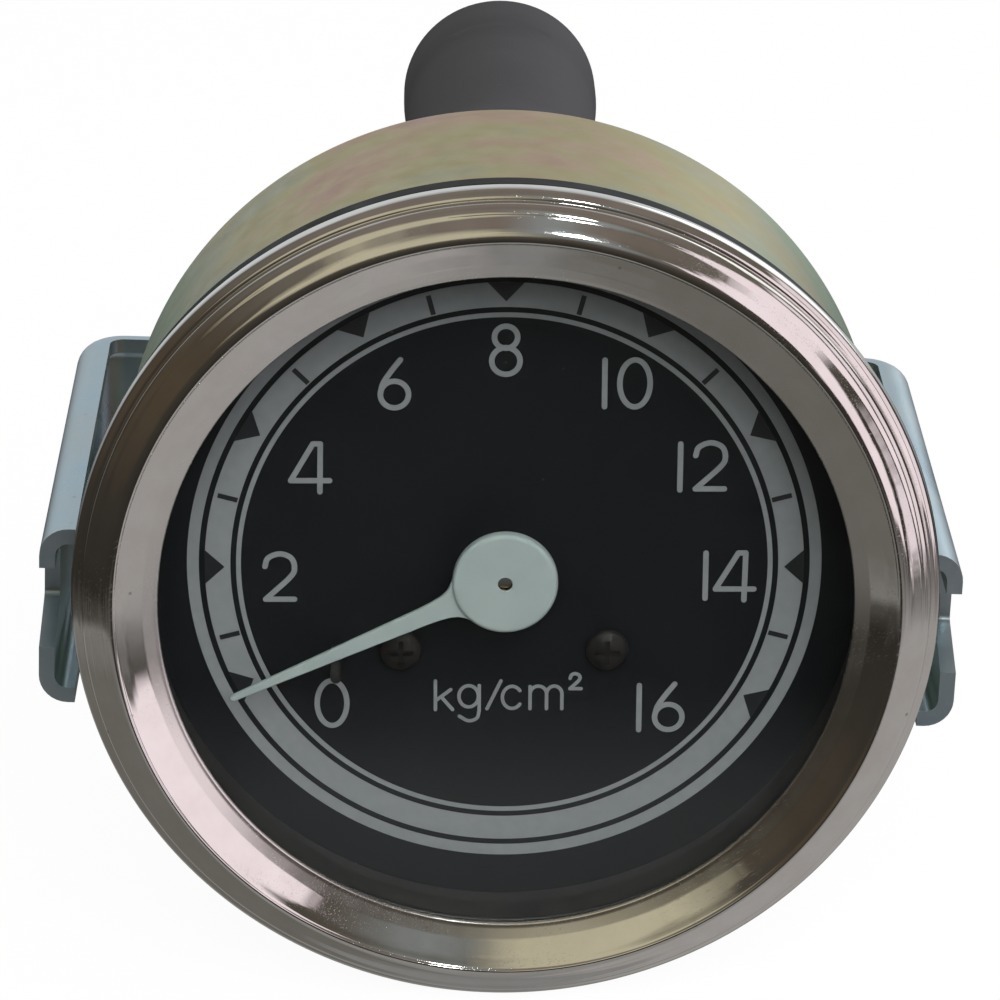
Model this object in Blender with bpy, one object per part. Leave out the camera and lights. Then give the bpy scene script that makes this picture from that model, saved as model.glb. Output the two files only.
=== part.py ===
"""Panel-mounted Bourdon-tube pressure gauge with a U bracket and a rear lamp.

The gauge's axis is Y: the dial faces -Y, +Z is twelve o'clock, and +X is to the
right of the reader.  The origin is on the axis, in the plane where the gasket
meets the panel.  Sizes below are in millimetres; the mesh is in metres.
"""
import math

import bmesh
import bpy
from mathutils import Matrix, Vector

MM = 0.001

# ---- fits -----------------------------------------------------------------
GAP = 0.3            # between pieces that rest on each other
FIT = 0.1            # round pins in their holes

# ---- round work: number of sides --------------------------------------------
SIDES_LARGE = 48
SIDES_MEDIUM = 32
SIDES_SMALL = 16
SIDES_PIN = 12

# ---- case, bezel and window ---------------------------------------------------
CASE_R = 30.05
CASE_WALL = 0.8
CASE_REAR_Y = 25.3
CASE_CORNER = 1.2
CASE_FLANGE_R = 31.4
CASE_FLANGE_Y = -3.2
CASE_FLANGE_THICK = 0.5
BEZEL_R = 32.5
BEZEL_REAR_Y = -1.9
LIP_R = 25.9
GLASS_R = 28.6
GLASS_Y = (-4.3, -2.3)
SEAL_Y = (-2.0, -1.3)
SPACER_R = (27.2, 28.9)
SPACER_Y = (-1.0, 3.9)
GASKET_R = (30.35, 32.1)
GASKET_THICK = 1.6

# ---- dial -------------------------------------------------------------------------
DIAL_R = 28.9
DIAL_Y = 4.2
DIAL_THICK = 0.5
DIAL_BORE_R = 1.7
DIAL_SCREW_X = 7.9
DIAL_SCREW_Z = -6.7
DIAL_SCREW_HEAD_R = 1.65
STOP_PIN = (-12.8, -6.92)          # under the pointer's blade at rest
STOP_PIN_R = 0.42
STOP_PIN_TIP_Y = -1.4

# ---- movement -----------------------------------------------------------------------
FRONT_PLATE_Y = (7.4, 8.2)
BACK_PLATE_Y = (15.2, 16.0)
PLATE_X = (-9.8, 10.2)
PLATE_Z = (-13.6, 8.0)
PLATE_CORNER = 2.0
PILLARS = ((-7.2, 5.6), (7.6, 5.6), (-7.2, -11.4))
PILLAR_R = 1.3
PLATE_SCREWS = ((-6.0, -1.0), (6.0, 1.5))      # back plate to the socket block
SPINDLE_R = 0.6
GEAR_MODULE = 0.25
PINION_TEETH = 10
SECTOR_TEETH = 90                  # in a full circle
SECTOR_SPAN = (-8, 1)              # first and last tooth, from the one in mesh
MESH_ANGLE = -61.4                 # from the spindle to the sector's shaft
TAIL_ANGLE = -15.0
TAIL_LENGTH = 5.0
SECTOR_Y = (11.0, 11.8)
PINION_Y = (10.6, 12.4)
LINK_Y = (12.1, 12.6)
LINK_PIN_R = 0.45
LINK_PLAY = 0.3                    # at the link's lower eye
HAIRSPRING_Y = (9.0, 9.5)
HAIRSPRING_R = (1.8, 4.4)
HAIRSPRING_TURNS = 4
HAIRSPRING_THICK = 0.14

# ---- Bourdon tube -------------------------------------------------------------------
TUBE_R = 17.5
TUBE_ANGLES = (-25.0, 250.0)       # tip and root
TUBE_PIVOT_ANGLE = 248.0
TUBE_WIDTH = 2.6
TUBE_DEPTH = 6.0
TUBE_WALL = 0.4
TUBE_Y = 10.6
TUBE_STEPS = 26
TUBE_SLOT_PLAY = 0.6               # room for the tube's turn at its root
TIP_PIN = (13.0, -6.6)

# ---- pressure connection ---------------------------------------------------------------
STEM_Z = -4.5
STEM_R = 6.0
STEM_END_Y = 64.0
BORE_R = 1.9

# ---- pointer -------------------------------------------------------------------------------
POINTER_ANGLE = 204.8              # at rest, counter-clockwise from +X as read
HUB_R = 4.0
HUB_Y = (0.5, 1.4)
BLADE_Y = (0.95, 1.4)
BLADE_REACH = 23.0

# ---- lamp --------------------------------------------------------------------------------------
LAMP_X = 0.4
LAMP_Z = 20.5
LAMP_BORE_R = 5.6
BOOT_R = 8.2
BOOT_Y = (27.0, 62.5)

# ---- bracket ---------------------------------------------------------------------------------
BRACKET_X = -0.35
BRACKET_HALF_W = 35.05
BRACKET_Y = (2.0, 48.7)
BRACKET_HALF_H = 7.1
BRACKET_TILT = 1.8                 # degrees, its right end lower as read
BRACKET_SHEET = 1.2
BRACKET_FLANGE = 2.75
BRACKET_BEND_R = 2.2
BRACKET_CORNER_R = 4.0
NOTCH_DEPTH = 6.0
NUT_Y = (50.3, 56.3)
NUT_FLATS = 18.0

COLOURS = {
    "chromate": ((0.50, 0.46, 0.30), 0.38, 1.0),
    "chrome": ((0.62, 0.60, 0.55), 0.10, 1.0),
    "glass": ((0.85, 0.90, 0.88), 0.03, 0.0),
    "rubber": ((0.035, 0.035, 0.037), 0.70, 0.0),
    "black": ((0.012, 0.013, 0.015), 0.55, 0.0),
    "spacer": ((0.05, 0.048, 0.045), 0.45, 0.0),
    "brass": ((0.62, 0.45, 0.18), 0.30, 1.0),
    "steel": ((0.50, 0.50, 0.50), 0.30, 1.0),
    "zinc": ((0.48, 0.56, 0.60), 0.34, 1.0),
    "pointer": ((0.42, 0.46, 0.45), 0.45, 0.0),
    "bulb": ((0.90, 0.90, 0.85), 0.05, 0.0),
}

materials = {}


# ---- building blocks ---------------------------------------------------------------------------
def clear_scene():
    for obj in list(bpy.data.objects):
        bpy.data.objects.remove(obj, do_unlink=True)


def material(name):
    if name not in materials:
        colour, roughness, metallic = COLOURS[name]
        made = bpy.data.materials.new(name)
        made.use_nodes = True
        shader = made.node_tree.nodes["Principled BSDF"]
        shader.inputs["Base Color"].default_value = (*colour, 1.0)
        shader.inputs["Roughness"].default_value = roughness
        shader.inputs["Metallic"].default_value = metallic
        materials[name] = made
    return materials[name]


def finish_object(bm, name, finish, pivot=None):
    """Turn the mesh into an object whose origin is at pivot, in millimetres."""
    bmesh.ops.recalc_face_normals(bm, faces=bm.faces)
    origin = Vector(pivot or (0.0, 0.0, 0.0))
    bm.transform(Matrix.Scale(MM, 4) @ Matrix.Translation(-origin))
    mesh = bpy.data.meshes.new(name)
    bm.to_mesh(mesh)
    bm.free()
    mesh.shade_smooth()
    mesh.set_sharp_from_angle(angle=math.radians(30.0))
    obj = bpy.data.objects.new(name, mesh)
    obj.location = origin * MM
    bpy.context.collection.objects.link(obj)
    if finish:
        mesh.materials.append(material(finish))
    return obj


def turned_mesh(profile, sides, centre=(0.0, 0.0)):
    """Spin a closed outline of (radius, y) points about the line x, z = centre."""
    bm = bmesh.new()
    verts = [bm.verts.new((r + centre[0], y, centre[1])) for r, y in profile]
    edges = [bm.edges.new((a, b)) for a, b in zip(verts, verts[1:] + verts[:1])]
    on_axis = [e for e in edges if all(abs(v.co.x - centre[0]) < 1e-9 for v in e.verts)]
    for edge in on_axis:
        bm.edges.remove(edge)
    kept = [e for e in edges if e.is_valid]
    bmesh.ops.spin(bm, geom=verts + kept, cent=(centre[0], 0.0, centre[1]), axis=(0, 1, 0),
                   angle=2 * math.pi, steps=sides, use_merge=True, use_duplicate=False)
    bmesh.ops.remove_doubles(bm, verts=bm.verts, dist=1e-5)
    return bm


def turned(name, finish, profile, sides=SIDES_LARGE, centre=(0.0, 0.0), pivot=None):
    return finish_object(turned_mesh(profile, sides, centre), name, finish, pivot)


def prism_mesh(outline, y_range):
    """Extrude a closed outline of (x, z) points along Y."""
    bm = bmesh.new()
    front = bm.faces.new([bm.verts.new((x, y_range[0], z)) for x, z in outline])
    moved = bmesh.ops.extrude_face_region(bm, geom=[front])["geom"]
    verts = [item for item in moved if isinstance(item, bmesh.types.BMVert)]
    bmesh.ops.translate(bm, verts=verts, vec=(0.0, y_range[1] - y_range[0], 0.0))
    return bm


def prism(name, finish, outline, y_range, pivot=None):
    return finish_object(prism_mesh(outline, y_range), name, finish, pivot)


def box_mesh(x_range, y_range, z_range):
    x0, x1 = x_range
    z0, z1 = z_range
    return prism_mesh([(x0, z0), (x1, z0), (x1, z1), (x0, z1)], y_range)


def arc(centre, radius, start, end, steps):
    """Points on an arc, angles in degrees."""
    angles = [math.radians(start + (end - start) * i / steps) for i in range(steps + 1)]
    return [(centre[0] + radius * math.cos(a), centre[1] + radius * math.sin(a)) for a in angles]


def circle(centre, radius, sides):
    return arc(centre, radius, 0.0, 360.0, sides)[:-1]


def rounded_rectangle(x_range, z_range, radius, steps=3):
    x0, x1 = x_range
    z0, z1 = z_range
    centres = ((x1 - radius, z1 - radius), (x0 + radius, z1 - radius),
               (x0 + radius, z0 + radius), (x1 - radius, z0 + radius))
    points = []
    for turn, centre in enumerate(centres):
        points += arc(centre, radius, 90.0 * turn, 90.0 * turn + 90.0, steps)
    return points


def polar(radius, angle, centre=(0.0, 0.0)):
    a = math.radians(angle)
    return (centre[0] + radius * math.cos(a), centre[1] + radius * math.sin(a))


def boolean(obj, bm, label, operation="DIFFERENCE"):
    """Cut obj with a mesh, or join them, as a modifier with a hidden tool object."""
    tool = finish_object(bm, f"{obj.name}_{label}_tool", None)
    tool.hide_render = True
    tool.display_type = "WIRE"
    modifier = obj.modifiers.new(label, "BOOLEAN")
    modifier.operation = operation
    modifier.solver = "EXACT"
    modifier.object = tool


def drill(obj, label, centre, radius, y_range, sides=SIDES_SMALL):
    boolean(obj, prism_mesh(circle(centre, radius, sides), y_range), label)


def screw(name, finish, centre, head_r, head_y, shank_r, shank_end, pivot=None):
    """A cheese-head screw with a cross recess; its head faces head_y[0]."""
    profile = [(0.0, head_y[0]), (head_r, head_y[0]), (head_r, head_y[1]),
               (shank_r, head_y[1]), (shank_r, shank_end), (0.0, shank_end)]
    obj = turned(name, finish, profile, SIDES_SMALL, centre, pivot)
    step = math.copysign(1.0, head_y[1] - head_y[0])
    recess = sorted((head_y[0] - step, head_y[0] + 0.35 * step))
    long, short = 0.65 * head_r, 0.16 * head_r
    for label, half_x, half_z in (("slot_x", long, short), ("slot_z", short, long)):
        slot = box_mesh((centre[0] - half_x, centre[0] + half_x), recess,
                        (centre[1] - half_z, centre[1] + half_z))
        boolean(obj, slot, label)
    return obj


# ---- case, bezel and window ---------------------------------------------------------------------
def build_case():
    inner = CASE_R - CASE_WALL
    rear_in = CASE_REAR_Y - CASE_WALL
    flange_rear = CASE_FLANGE_Y + CASE_FLANGE_THICK
    corner = CASE_CORNER
    outside = arc((CASE_R - corner, CASE_REAR_Y - corner), corner, 0.0, 90.0, 4)
    inside = arc((inner - corner, rear_in - corner), corner, 90.0, 0.0, 4)
    profile = [(CASE_FLANGE_R, CASE_FLANGE_Y), (CASE_FLANGE_R, flange_rear), (CASE_R, flange_rear)]
    profile += outside + [(0.0, CASE_REAR_Y), (0.0, rear_in)] + inside
    profile += [(inner, CASE_FLANGE_Y)]
    case = turned("case_cup", "chromate", profile)
    wall = (rear_in - 1.0, CASE_REAR_Y + 1.0)
    drill(case, "stem_hole", (0.0, STEM_Z), STEM_R + GAP, wall, SIDES_MEDIUM)
    drill(case, "lamp_hole", (LAMP_X, LAMP_Z), 6.6, wall, SIDES_MEDIUM)
    for label, x in (("screw_hole_left", -12.5), ("screw_hole_right", 12.5)):
        drill(case, label, (x, STEM_Z), 1.6, wall)


def build_bezel():
    """A spun ring: rolled lip, cone, crest, convex side and a bead closed over the case."""
    outside = [(LIP_R, -4.75), (26.0, -5.15), (26.4, -5.4), (27.0, -5.35), (27.25, -5.25),
               (27.4, -5.6), (29.0, -6.6), (29.35, -6.8), (29.8, -6.75), (30.5, -6.3),
               (31.2, -5.5), (31.65, -4.7), (31.8, -4.05), (32.2, -3.8), (BEZEL_R, -3.3),
               (BEZEL_R, -2.4), (32.1, BEZEL_REAR_Y), (31.0, BEZEL_REAR_Y)]
    inside = [(31.0, -2.35), (31.75, -2.45), (31.75, -3.3), (31.2, -3.75), (31.0, -4.6),
              (30.3, -5.5), (29.4, -6.0), (28.9, -5.95), (27.6, -5.0), (26.6, -4.75)]
    turned("bezel_ring", "chrome", outside + inside)


def ring(name, finish, radii, y_range, sides=SIDES_LARGE, centre=(0.0, 0.0)):
    profile = [(radii[1], y_range[0]), (radii[1], y_range[1]),
               (radii[0], y_range[1]), (radii[0], y_range[0])]
    return turned(name, finish, profile, sides, centre)


def build_window():
    front, rear = GLASS_Y
    edge = GLASS_R - 0.3
    profile = [(0.0, front), (edge, front), (GLASS_R, front + 0.3), (GLASS_R, rear - 0.3),
               (edge, rear), (0.0, rear)]
    turned("glass", "glass", profile)
    ring("glass_seal", "rubber", (27.3, SPACER_R[1]), SEAL_Y)
    ring("spacer_ring", "spacer", SPACER_R, SPACER_Y)
    ring("panel_gasket", "rubber", GASKET_R, (-GASKET_THICK, 0.0))


# ---- dial ------------------------------------------------------------------------------------------
def build_dial():
    dial_rear = DIAL_Y + DIAL_THICK
    dial = ring("dial", "black", (DIAL_BORE_R, DIAL_R), (DIAL_Y, dial_rear))
    for side, x in (("left", -DIAL_SCREW_X), ("right", DIAL_SCREW_X)):
        centre = (x, DIAL_SCREW_Z)
        drill(dial, f"hole_{side}", centre, 1.1, (DIAL_Y - 1.0, dial_rear + 1.0))
        screw(f"dial_screw_{side}", "black", centre, DIAL_SCREW_HEAD_R, (3.2, 3.95), 0.9, 6.8)
        ring(f"dial_post_{side}", "brass", (0.9 + FIT, 1.7), (dial_rear + GAP, 7.1),
             SIDES_SMALL, centre)
    drill(dial, "hole_stop", STOP_PIN, STOP_PIN_R + FIT, (DIAL_Y - 1.0, dial_rear + 1.0), SIDES_PIN)
    r, tip, head = STOP_PIN_R, STOP_PIN_TIP_Y, dial_rear + GAP
    profile = [(0.0, tip), (0.6 * r, tip), (r, tip + 0.2), (r, head), (2 * r, head),
               (2 * r, head + 0.4), (0.0, head + 0.4)]
    turned("dial_stop_pin", "black", profile, SIDES_PIN, STOP_PIN)


# ---- movement -----------------------------------------------------------------------------------------
def sector_shaft_place():
    return polar(GEAR_MODULE * (PINION_TEETH + SECTOR_TEETH) / 2, MESH_ANGLE)


def tail_pin_place():
    return polar(TAIL_LENGTH, TAIL_ANGLE, sector_shaft_place())


def build_plates():
    outline = rounded_rectangle(PLATE_X, PLATE_Z, PLATE_CORNER)
    shaft = sector_shaft_place()
    for name, y_range in (("front_plate", FRONT_PLATE_Y), ("back_plate", BACK_PLATE_Y)):
        plate = prism(name, "brass", outline, y_range)
        through = (y_range[0] - 0.5, y_range[1] + 0.5)
        drill(plate, "spindle_hole", (0.0, 0.0), SPINDLE_R + FIT, through, SIDES_PIN)
        drill(plate, "sector_hole", shaft, SPINDLE_R + FIT, through, SIDES_PIN)
        places = PILLARS if name == "front_plate" else PLATE_SCREWS
        for index, centre in enumerate(places, 1):
            drill(plate, f"screw_hole_{index}", centre, 0.9, through, SIDES_PIN)


def build_pillars():
    front = FRONT_PLATE_Y[1] + GAP
    back = BACK_PLATE_Y[0] - GAP
    bore, bore_end = 0.7 + FIT, front + 2.6
    profile = [(bore, front), (PILLAR_R, front), (PILLAR_R, back), (0.0, back),
               (0.0, bore_end), (bore, bore_end)]
    head = (FRONT_PLATE_Y[0] - GAP - 0.7, FRONT_PLATE_Y[0] - GAP)
    for index, centre in enumerate(PILLARS, 1):
        turned(f"pillar_{index}", "brass", profile, SIDES_PIN, centre)
        screw(f"pillar_screw_{index}", "steel", centre, 1.5, head, 0.7, bore_end - GAP)
    head = (BACK_PLATE_Y[0] - GAP - 0.7, BACK_PLATE_Y[0] - GAP)
    for index, centre in enumerate(PLATE_SCREWS, 1):
        screw(f"movement_screw_{index}", "steel", centre, 1.5, head, 0.7, BACK_PLATE_Y[1] + 2.6)


def gear_points(teeth, numbers, centre, phase):
    """Outline of the numbered teeth; phase is the angle of tooth 0's middle."""
    pitch_r = GEAR_MODULE * teeth / 2
    step = 360.0 / teeth
    flank = ((pitch_r - 0.28, 0.21), (pitch_r + 0.20, 0.09))
    points = []
    for number in numbers:
        middle = phase + step * number
        for radius, half in (flank[0], flank[1]):
            points.append(polar(radius, middle - math.degrees(half / radius), centre))
        for radius, half in (flank[1], flank[0]):
            points.append(polar(radius, middle + math.degrees(half / radius), centre))
    return points


def build_spindle():
    """The pointer's spindle, with its pinion cut in one piece."""
    half_tooth = 180.0 / PINION_TEETH
    teeth = gear_points(PINION_TEETH, range(PINION_TEETH), (0.0, 0.0), MESH_ANGLE + half_tooth)
    spindle = prism("pinion_spindle", "steel", teeth, PINION_Y, (0.0, 0.0, 0.0))
    rod = prism_mesh(circle((0.0, 0.0), SPINDLE_R, SIDES_PIN), (1.3, BACK_PLATE_Y[1] - 0.1))
    boolean(spindle, rod, "arbor", "UNION")
    ring("hairspring_collet", "brass", (SPINDLE_R + FIT, 1.4), (8.8, 9.8), SIDES_PIN)


def build_sector():
    shaft = sector_shaft_place()
    mesh_from_shaft = MESH_ANGLE + 180.0
    first, last = SECTOR_SPAN
    teeth = gear_points(SECTOR_TEETH, range(first, last + 1), shaft, mesh_from_shaft)
    step = 360.0 / SECTOR_TEETH
    root_r = GEAR_MODULE * SECTOR_TEETH / 2 - 0.28
    low_end = mesh_from_shaft + step * (first - 0.7)
    high_end = mesh_from_shaft + step * (last + 0.7)
    tail_end = tail_pin_place()
    outline = [polar(root_r, low_end, shaft)] + teeth + [polar(root_r, high_end, shaft)]
    outline += arc(shaft, 2.0, high_end + 60.0, 280.0, 4)
    outline += arc(tail_end, 1.1, TAIL_ANGLE - 90.0, TAIL_ANGLE + 90.0, 6)
    outline += [polar(2.0, 55.0, shaft)]
    pivot = (shaft[0], 0.0, shaft[1])
    sector = prism("sector_gear", "brass", outline, SECTOR_Y, pivot)
    through = (SECTOR_Y[0] - 0.5, SECTOR_Y[1] + 0.5)
    drill(sector, "shaft_hole", shaft, SPINDLE_R + 2 * FIT, through, SIDES_PIN)
    drill(sector, "pin_hole", tail_end, LINK_PIN_R + FIT, through, SIDES_PIN)
    inner = [polar(3.6, low_end + 9.0, shaft), polar(9.4, low_end + 5.0, shaft),
             polar(9.4, (low_end + high_end) / 2, shaft), polar(9.4, high_end - 5.0, shaft),
             polar(3.6, high_end - 9.0, shaft)]
    boolean(sector, prism_mesh(inner, through), "window")
    arbor = [(0.0, FRONT_PLATE_Y[0] + 0.1), (SPINDLE_R, FRONT_PLATE_Y[0] + 0.1),
             (SPINDLE_R, BACK_PLATE_Y[1] - 0.1), (0.0, BACK_PLATE_Y[1] - 0.1)]
    turned("sector_shaft", "steel", arbor, SIDES_PIN, shaft, pivot)


def pin(name, centre, y_range, head_r, pivot):
    """A headed pin; its head is the 0.4 mm behind the shank."""
    profile = [(0.0, y_range[0]), (LINK_PIN_R, y_range[0]), (LINK_PIN_R, y_range[1]),
               (head_r, y_range[1]), (head_r, y_range[1] + 0.4), (0.0, y_range[1] + 0.4)]
    return turned(name, "steel", profile, SIDES_PIN, centre, pivot)


def build_link():
    tail_end = tail_pin_place()
    shaft = sector_shaft_place()
    span = Vector(TIP_PIN) - Vector(tail_end)
    heading = math.degrees(math.atan2(span.y, span.x))
    outline = arc(TIP_PIN, 1.2, heading - 90.0, heading + 90.0, 6)
    outline += arc(tail_end, 1.4, heading + 90.0, heading + 270.0, 6)
    pivot = (TIP_PIN[0], 0.0, TIP_PIN[1])
    link = prism("link", "brass", outline, LINK_Y, pivot)
    through = (LINK_Y[0] - 0.5, LINK_Y[1] + 0.5)
    drill(link, "upper_eye", TIP_PIN, LINK_PIN_R + FIT, through, SIDES_PIN)
    drill(link, "lower_eye", tail_end, LINK_PIN_R + LINK_PLAY, through, SIDES_PIN)
    behind = LINK_Y[1] + 0.1
    pin("tail_pin", tail_end, (SECTOR_Y[0] - 0.2, behind), 1.0, (shaft[0], 0.0, shaft[1]))
    pin("tip_pin", TIP_PIN, (SECTOR_Y[0] - 0.2, behind), 0.9, tube_pivot())


def build_hairspring():
    """A flat spiral from the collet out to its stud on the front plate."""
    steps = 12 * HAIRSPRING_TURNS
    inner, outer = HAIRSPRING_R
    centres = []
    for i in range(steps + 1):
        angle = 150.0 + 360.0 * HAIRSPRING_TURNS * i / steps
        radius = inner + (outer - inner) * i / steps
        centres.append((radius, angle))
    half = HAIRSPRING_THICK / 2
    outline = [polar(r + half, a) for r, a in centres]
    outline += [polar(r - half, a) for r, a in reversed(centres)]
    prism("hairspring", "brass", outline, HAIRSPRING_Y)
    stud = polar(outer + 0.95, 150.0)
    outline = rounded_rectangle((stud[0] - 0.7, stud[0] + 0.7), (stud[1] - 0.7, stud[1] + 0.7), 0.2, 1)
    prism("hairspring_stud", "steel", outline, (FRONT_PLATE_Y[1] + GAP, 10.2))


def build_stops():
    """Two pins in the front plate that the sector's arm meets at each end."""
    shaft = sector_shaft_place()
    for name, angle in (("stop_pin_low", 72.0), ("stop_pin_high", 166.5)):
        centre = polar(6.0, angle, shaft)
        profile = [(0.0, FRONT_PLATE_Y[1] + GAP), (0.45, FRONT_PLATE_Y[1] + GAP),
                   (0.45, 12.2), (0.0, 12.2)]
        turned(name, "steel", profile, SIDES_PIN, centre)


# ---- Bourdon tube ----------------------------------------------------------------------------------------
def tube_pivot():
    x, z = polar(TUBE_R, TUBE_PIVOT_ANGLE)
    return (x, 0.0, z)


def tube_section(half_w, half_d):
    """Flattened section as (radial, y) offsets, counter-clockwise."""
    flat = half_d - half_w
    upper = arc((0.0, flat), half_w, 0.0, 180.0, 3)
    lower = arc((0.0, -flat), half_w, 180.0, 360.0, 3)
    return upper + lower


def swept_section(bm, section, start, end, steps):
    """Rings of vertices of a section carried round the gauge's axis, joined into a skin."""
    rings = []
    for i in range(steps + 1):
        angle = start + (end - start) * i / steps
        places = [(polar(TUBE_R + dr, angle), TUBE_Y + dy) for dr, dy in section]
        rings.append([bm.verts.new((p[0], y, p[1])) for p, y in places])
    for a, b in zip(rings, rings[1:]):
        for j in range(len(section)):
            k = (j + 1) % len(section)
            bm.faces.new((a[j], a[k], b[k], b[j]))
    return rings


def build_tube():
    """A flattened tube bent to a C, closed at its tip and open at its root."""
    tip, root = TUBE_ANGLES
    bm = bmesh.new()
    outer = swept_section(bm, tube_section(TUBE_WIDTH / 2, TUBE_DEPTH / 2), tip, root, TUBE_STEPS)
    inner_section = tube_section(TUBE_WIDTH / 2 - TUBE_WALL, TUBE_DEPTH / 2 - TUBE_WALL)
    inner = swept_section(bm, inner_section, tip + 1.5, root, TUBE_STEPS)
    bm.faces.new(outer[0])
    bm.faces.new(inner[0])
    mouth = list(zip(outer[-1], inner[-1]))
    for (a, b), (c, d) in zip(mouth, mouth[1:] + mouth[:1]):
        bm.faces.new((a, c, d, b))
    finish_object(bm, "bourdon_tube", "brass", tube_pivot())


def build_tube_tip():
    """The plug that closes the tube's free end, with the lug that carries the link."""
    end = TUBE_ANGLES[0] - 1.0
    half = TUBE_WIDTH / 2
    outline = [polar(TUBE_R - half, end), polar(TUBE_R + half, end),
               polar(TUBE_R + half, end - 9.0), polar(TUBE_R - half, end - 11.0)]
    lug = arc(TIP_PIN, 1.3, 300.0, 120.0, 6)
    tip = prism("tube_tip", "brass", outline + lug, SECTOR_Y, tube_pivot())
    through = (SECTOR_Y[0] - 0.5, SECTOR_Y[1] + 0.5)
    drill(tip, "pin_hole", TIP_PIN, LINK_PIN_R + FIT, through, SIDES_PIN)


# ---- pressure connection ------------------------------------------------------------------------------------
def build_socket():
    """Brass block with the threaded stem, and the arm that holds the tube's root."""
    rear = CASE_REAR_Y - CASE_WALL - GAP
    front = BACK_PLATE_Y[1] + GAP
    socket = prism("socket", "brass", rounded_rectangle((-8.0, 8.0), (-12.5, 4.5), 1.5), (front, rear))
    wings = rounded_rectangle((-15.5, 15.5), (STEM_Z - 4.0, STEM_Z + 4.0), 1.5)
    boolean(socket, prism_mesh(wings, (rear - 3.0, rear)), "wings", "UNION")
    stem = prism_mesh(circle((0.0, STEM_Z), STEM_R, SIDES_MEDIUM), (rear - 1.0, STEM_END_Y))
    end_edges = [e for e in stem.edges if all(v.co.y > STEM_END_Y - 0.01 for v in e.verts)]
    bmesh.ops.bevel(stem, geom=end_edges, offset=0.7, segments=1, affect="EDGES")
    boolean(socket, stem, "stem", "UNION")
    root = polar(TUBE_R, 247.5)
    arm = rounded_rectangle((root[0] - 3.4, root[0] + 3.4), (root[1] - 3.0, root[1] + 2.3), 0.8, 2)
    boolean(socket, prism_mesh(arm, (6.6, rear - 1.0)), "arm", "UNION")
    bridge = box_mesh((root[0] - 3.0, 0.0), (front + 0.3, rear - 0.5), (root[1], -8.0))
    boolean(socket, bridge, "bridge", "UNION")
    slot = bmesh.new()
    section = tube_section(TUBE_WIDTH / 2 + TUBE_SLOT_PLAY, TUBE_DEPTH / 2 + GAP)
    rings = swept_section(slot, section, 225.0, 251.5, 6)
    slot.faces.new(rings[0])
    slot.faces.new(rings[-1])
    boolean(socket, slot, "tube_slot")
    bore = prism_mesh(circle((0.0, STEM_Z), BORE_R, SIDES_SMALL), (front + 2.0, STEM_END_Y + 1.0))
    boolean(socket, bore, "bore")
    for index, centre in enumerate(PLATE_SCREWS, 1):
        drill(socket, f"tapped_{index}", centre, 0.7 + FIT, (front - 1.0, front + 3.2), SIDES_PIN)
    for label, x in (("wing_hole_left", -12.5), ("wing_hole_right", 12.5)):
        drill(socket, label, (x, STEM_Z), 1.2 + FIT, (rear - 4.0, rear + 1.0), SIDES_PIN)
        screw(f"case_screw_{label.split('_')[-1]}", "steel", (x, STEM_Z), 2.4,
              (CASE_REAR_Y + GAP + 1.4, CASE_REAR_Y + GAP), 1.2, rear - 2.4)
    ring("stem_washer", "rubber", (STEM_R + GAP, 9.0), (CASE_REAR_Y + GAP, CASE_REAR_Y + GAP + 1.2),
         SIDES_MEDIUM, (0.0, STEM_Z))


# ---- pointer ---------------------------------------------------------------------------------------------------
def build_pointer():
    """A round hub with a long tapered blade, and the brass bush pressed inside it."""
    a = math.radians(POINTER_ANGLE)
    along = Vector((math.cos(a), math.sin(a)))
    across = Vector((-along.y, along.x))
    sides = [(2.0, 1.9), (3.6, 1.65), (4.6, 0.95), (6.5, 0.66), (BLADE_REACH - 0.3, 0.2),
             (BLADE_REACH, 0.08)]
    right = [along * s - across * w for s, w in sides]
    left = [along * s + across * w for s, w in reversed(sides)]
    blade = prism_mesh([tuple(p) for p in right + left], BLADE_Y)
    front, rear = HUB_Y
    edge = 0.3
    profile = [(1.0, front), (HUB_R - edge, front), (HUB_R, front + edge), (HUB_R, rear),
               (1.9, rear), (1.9, rear + 1.0), (1.0, rear + 1.0)]
    pointer = turned("pointer", "pointer", profile, SIDES_MEDIUM, pivot=(0.0, 0.0, 0.0))
    boolean(pointer, blade, "blade", "UNION")
    ring("pointer_bush", "brass", (SPINDLE_R + FIT, 0.9), (front + 0.3, rear + 1.6), SIDES_PIN)


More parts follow.
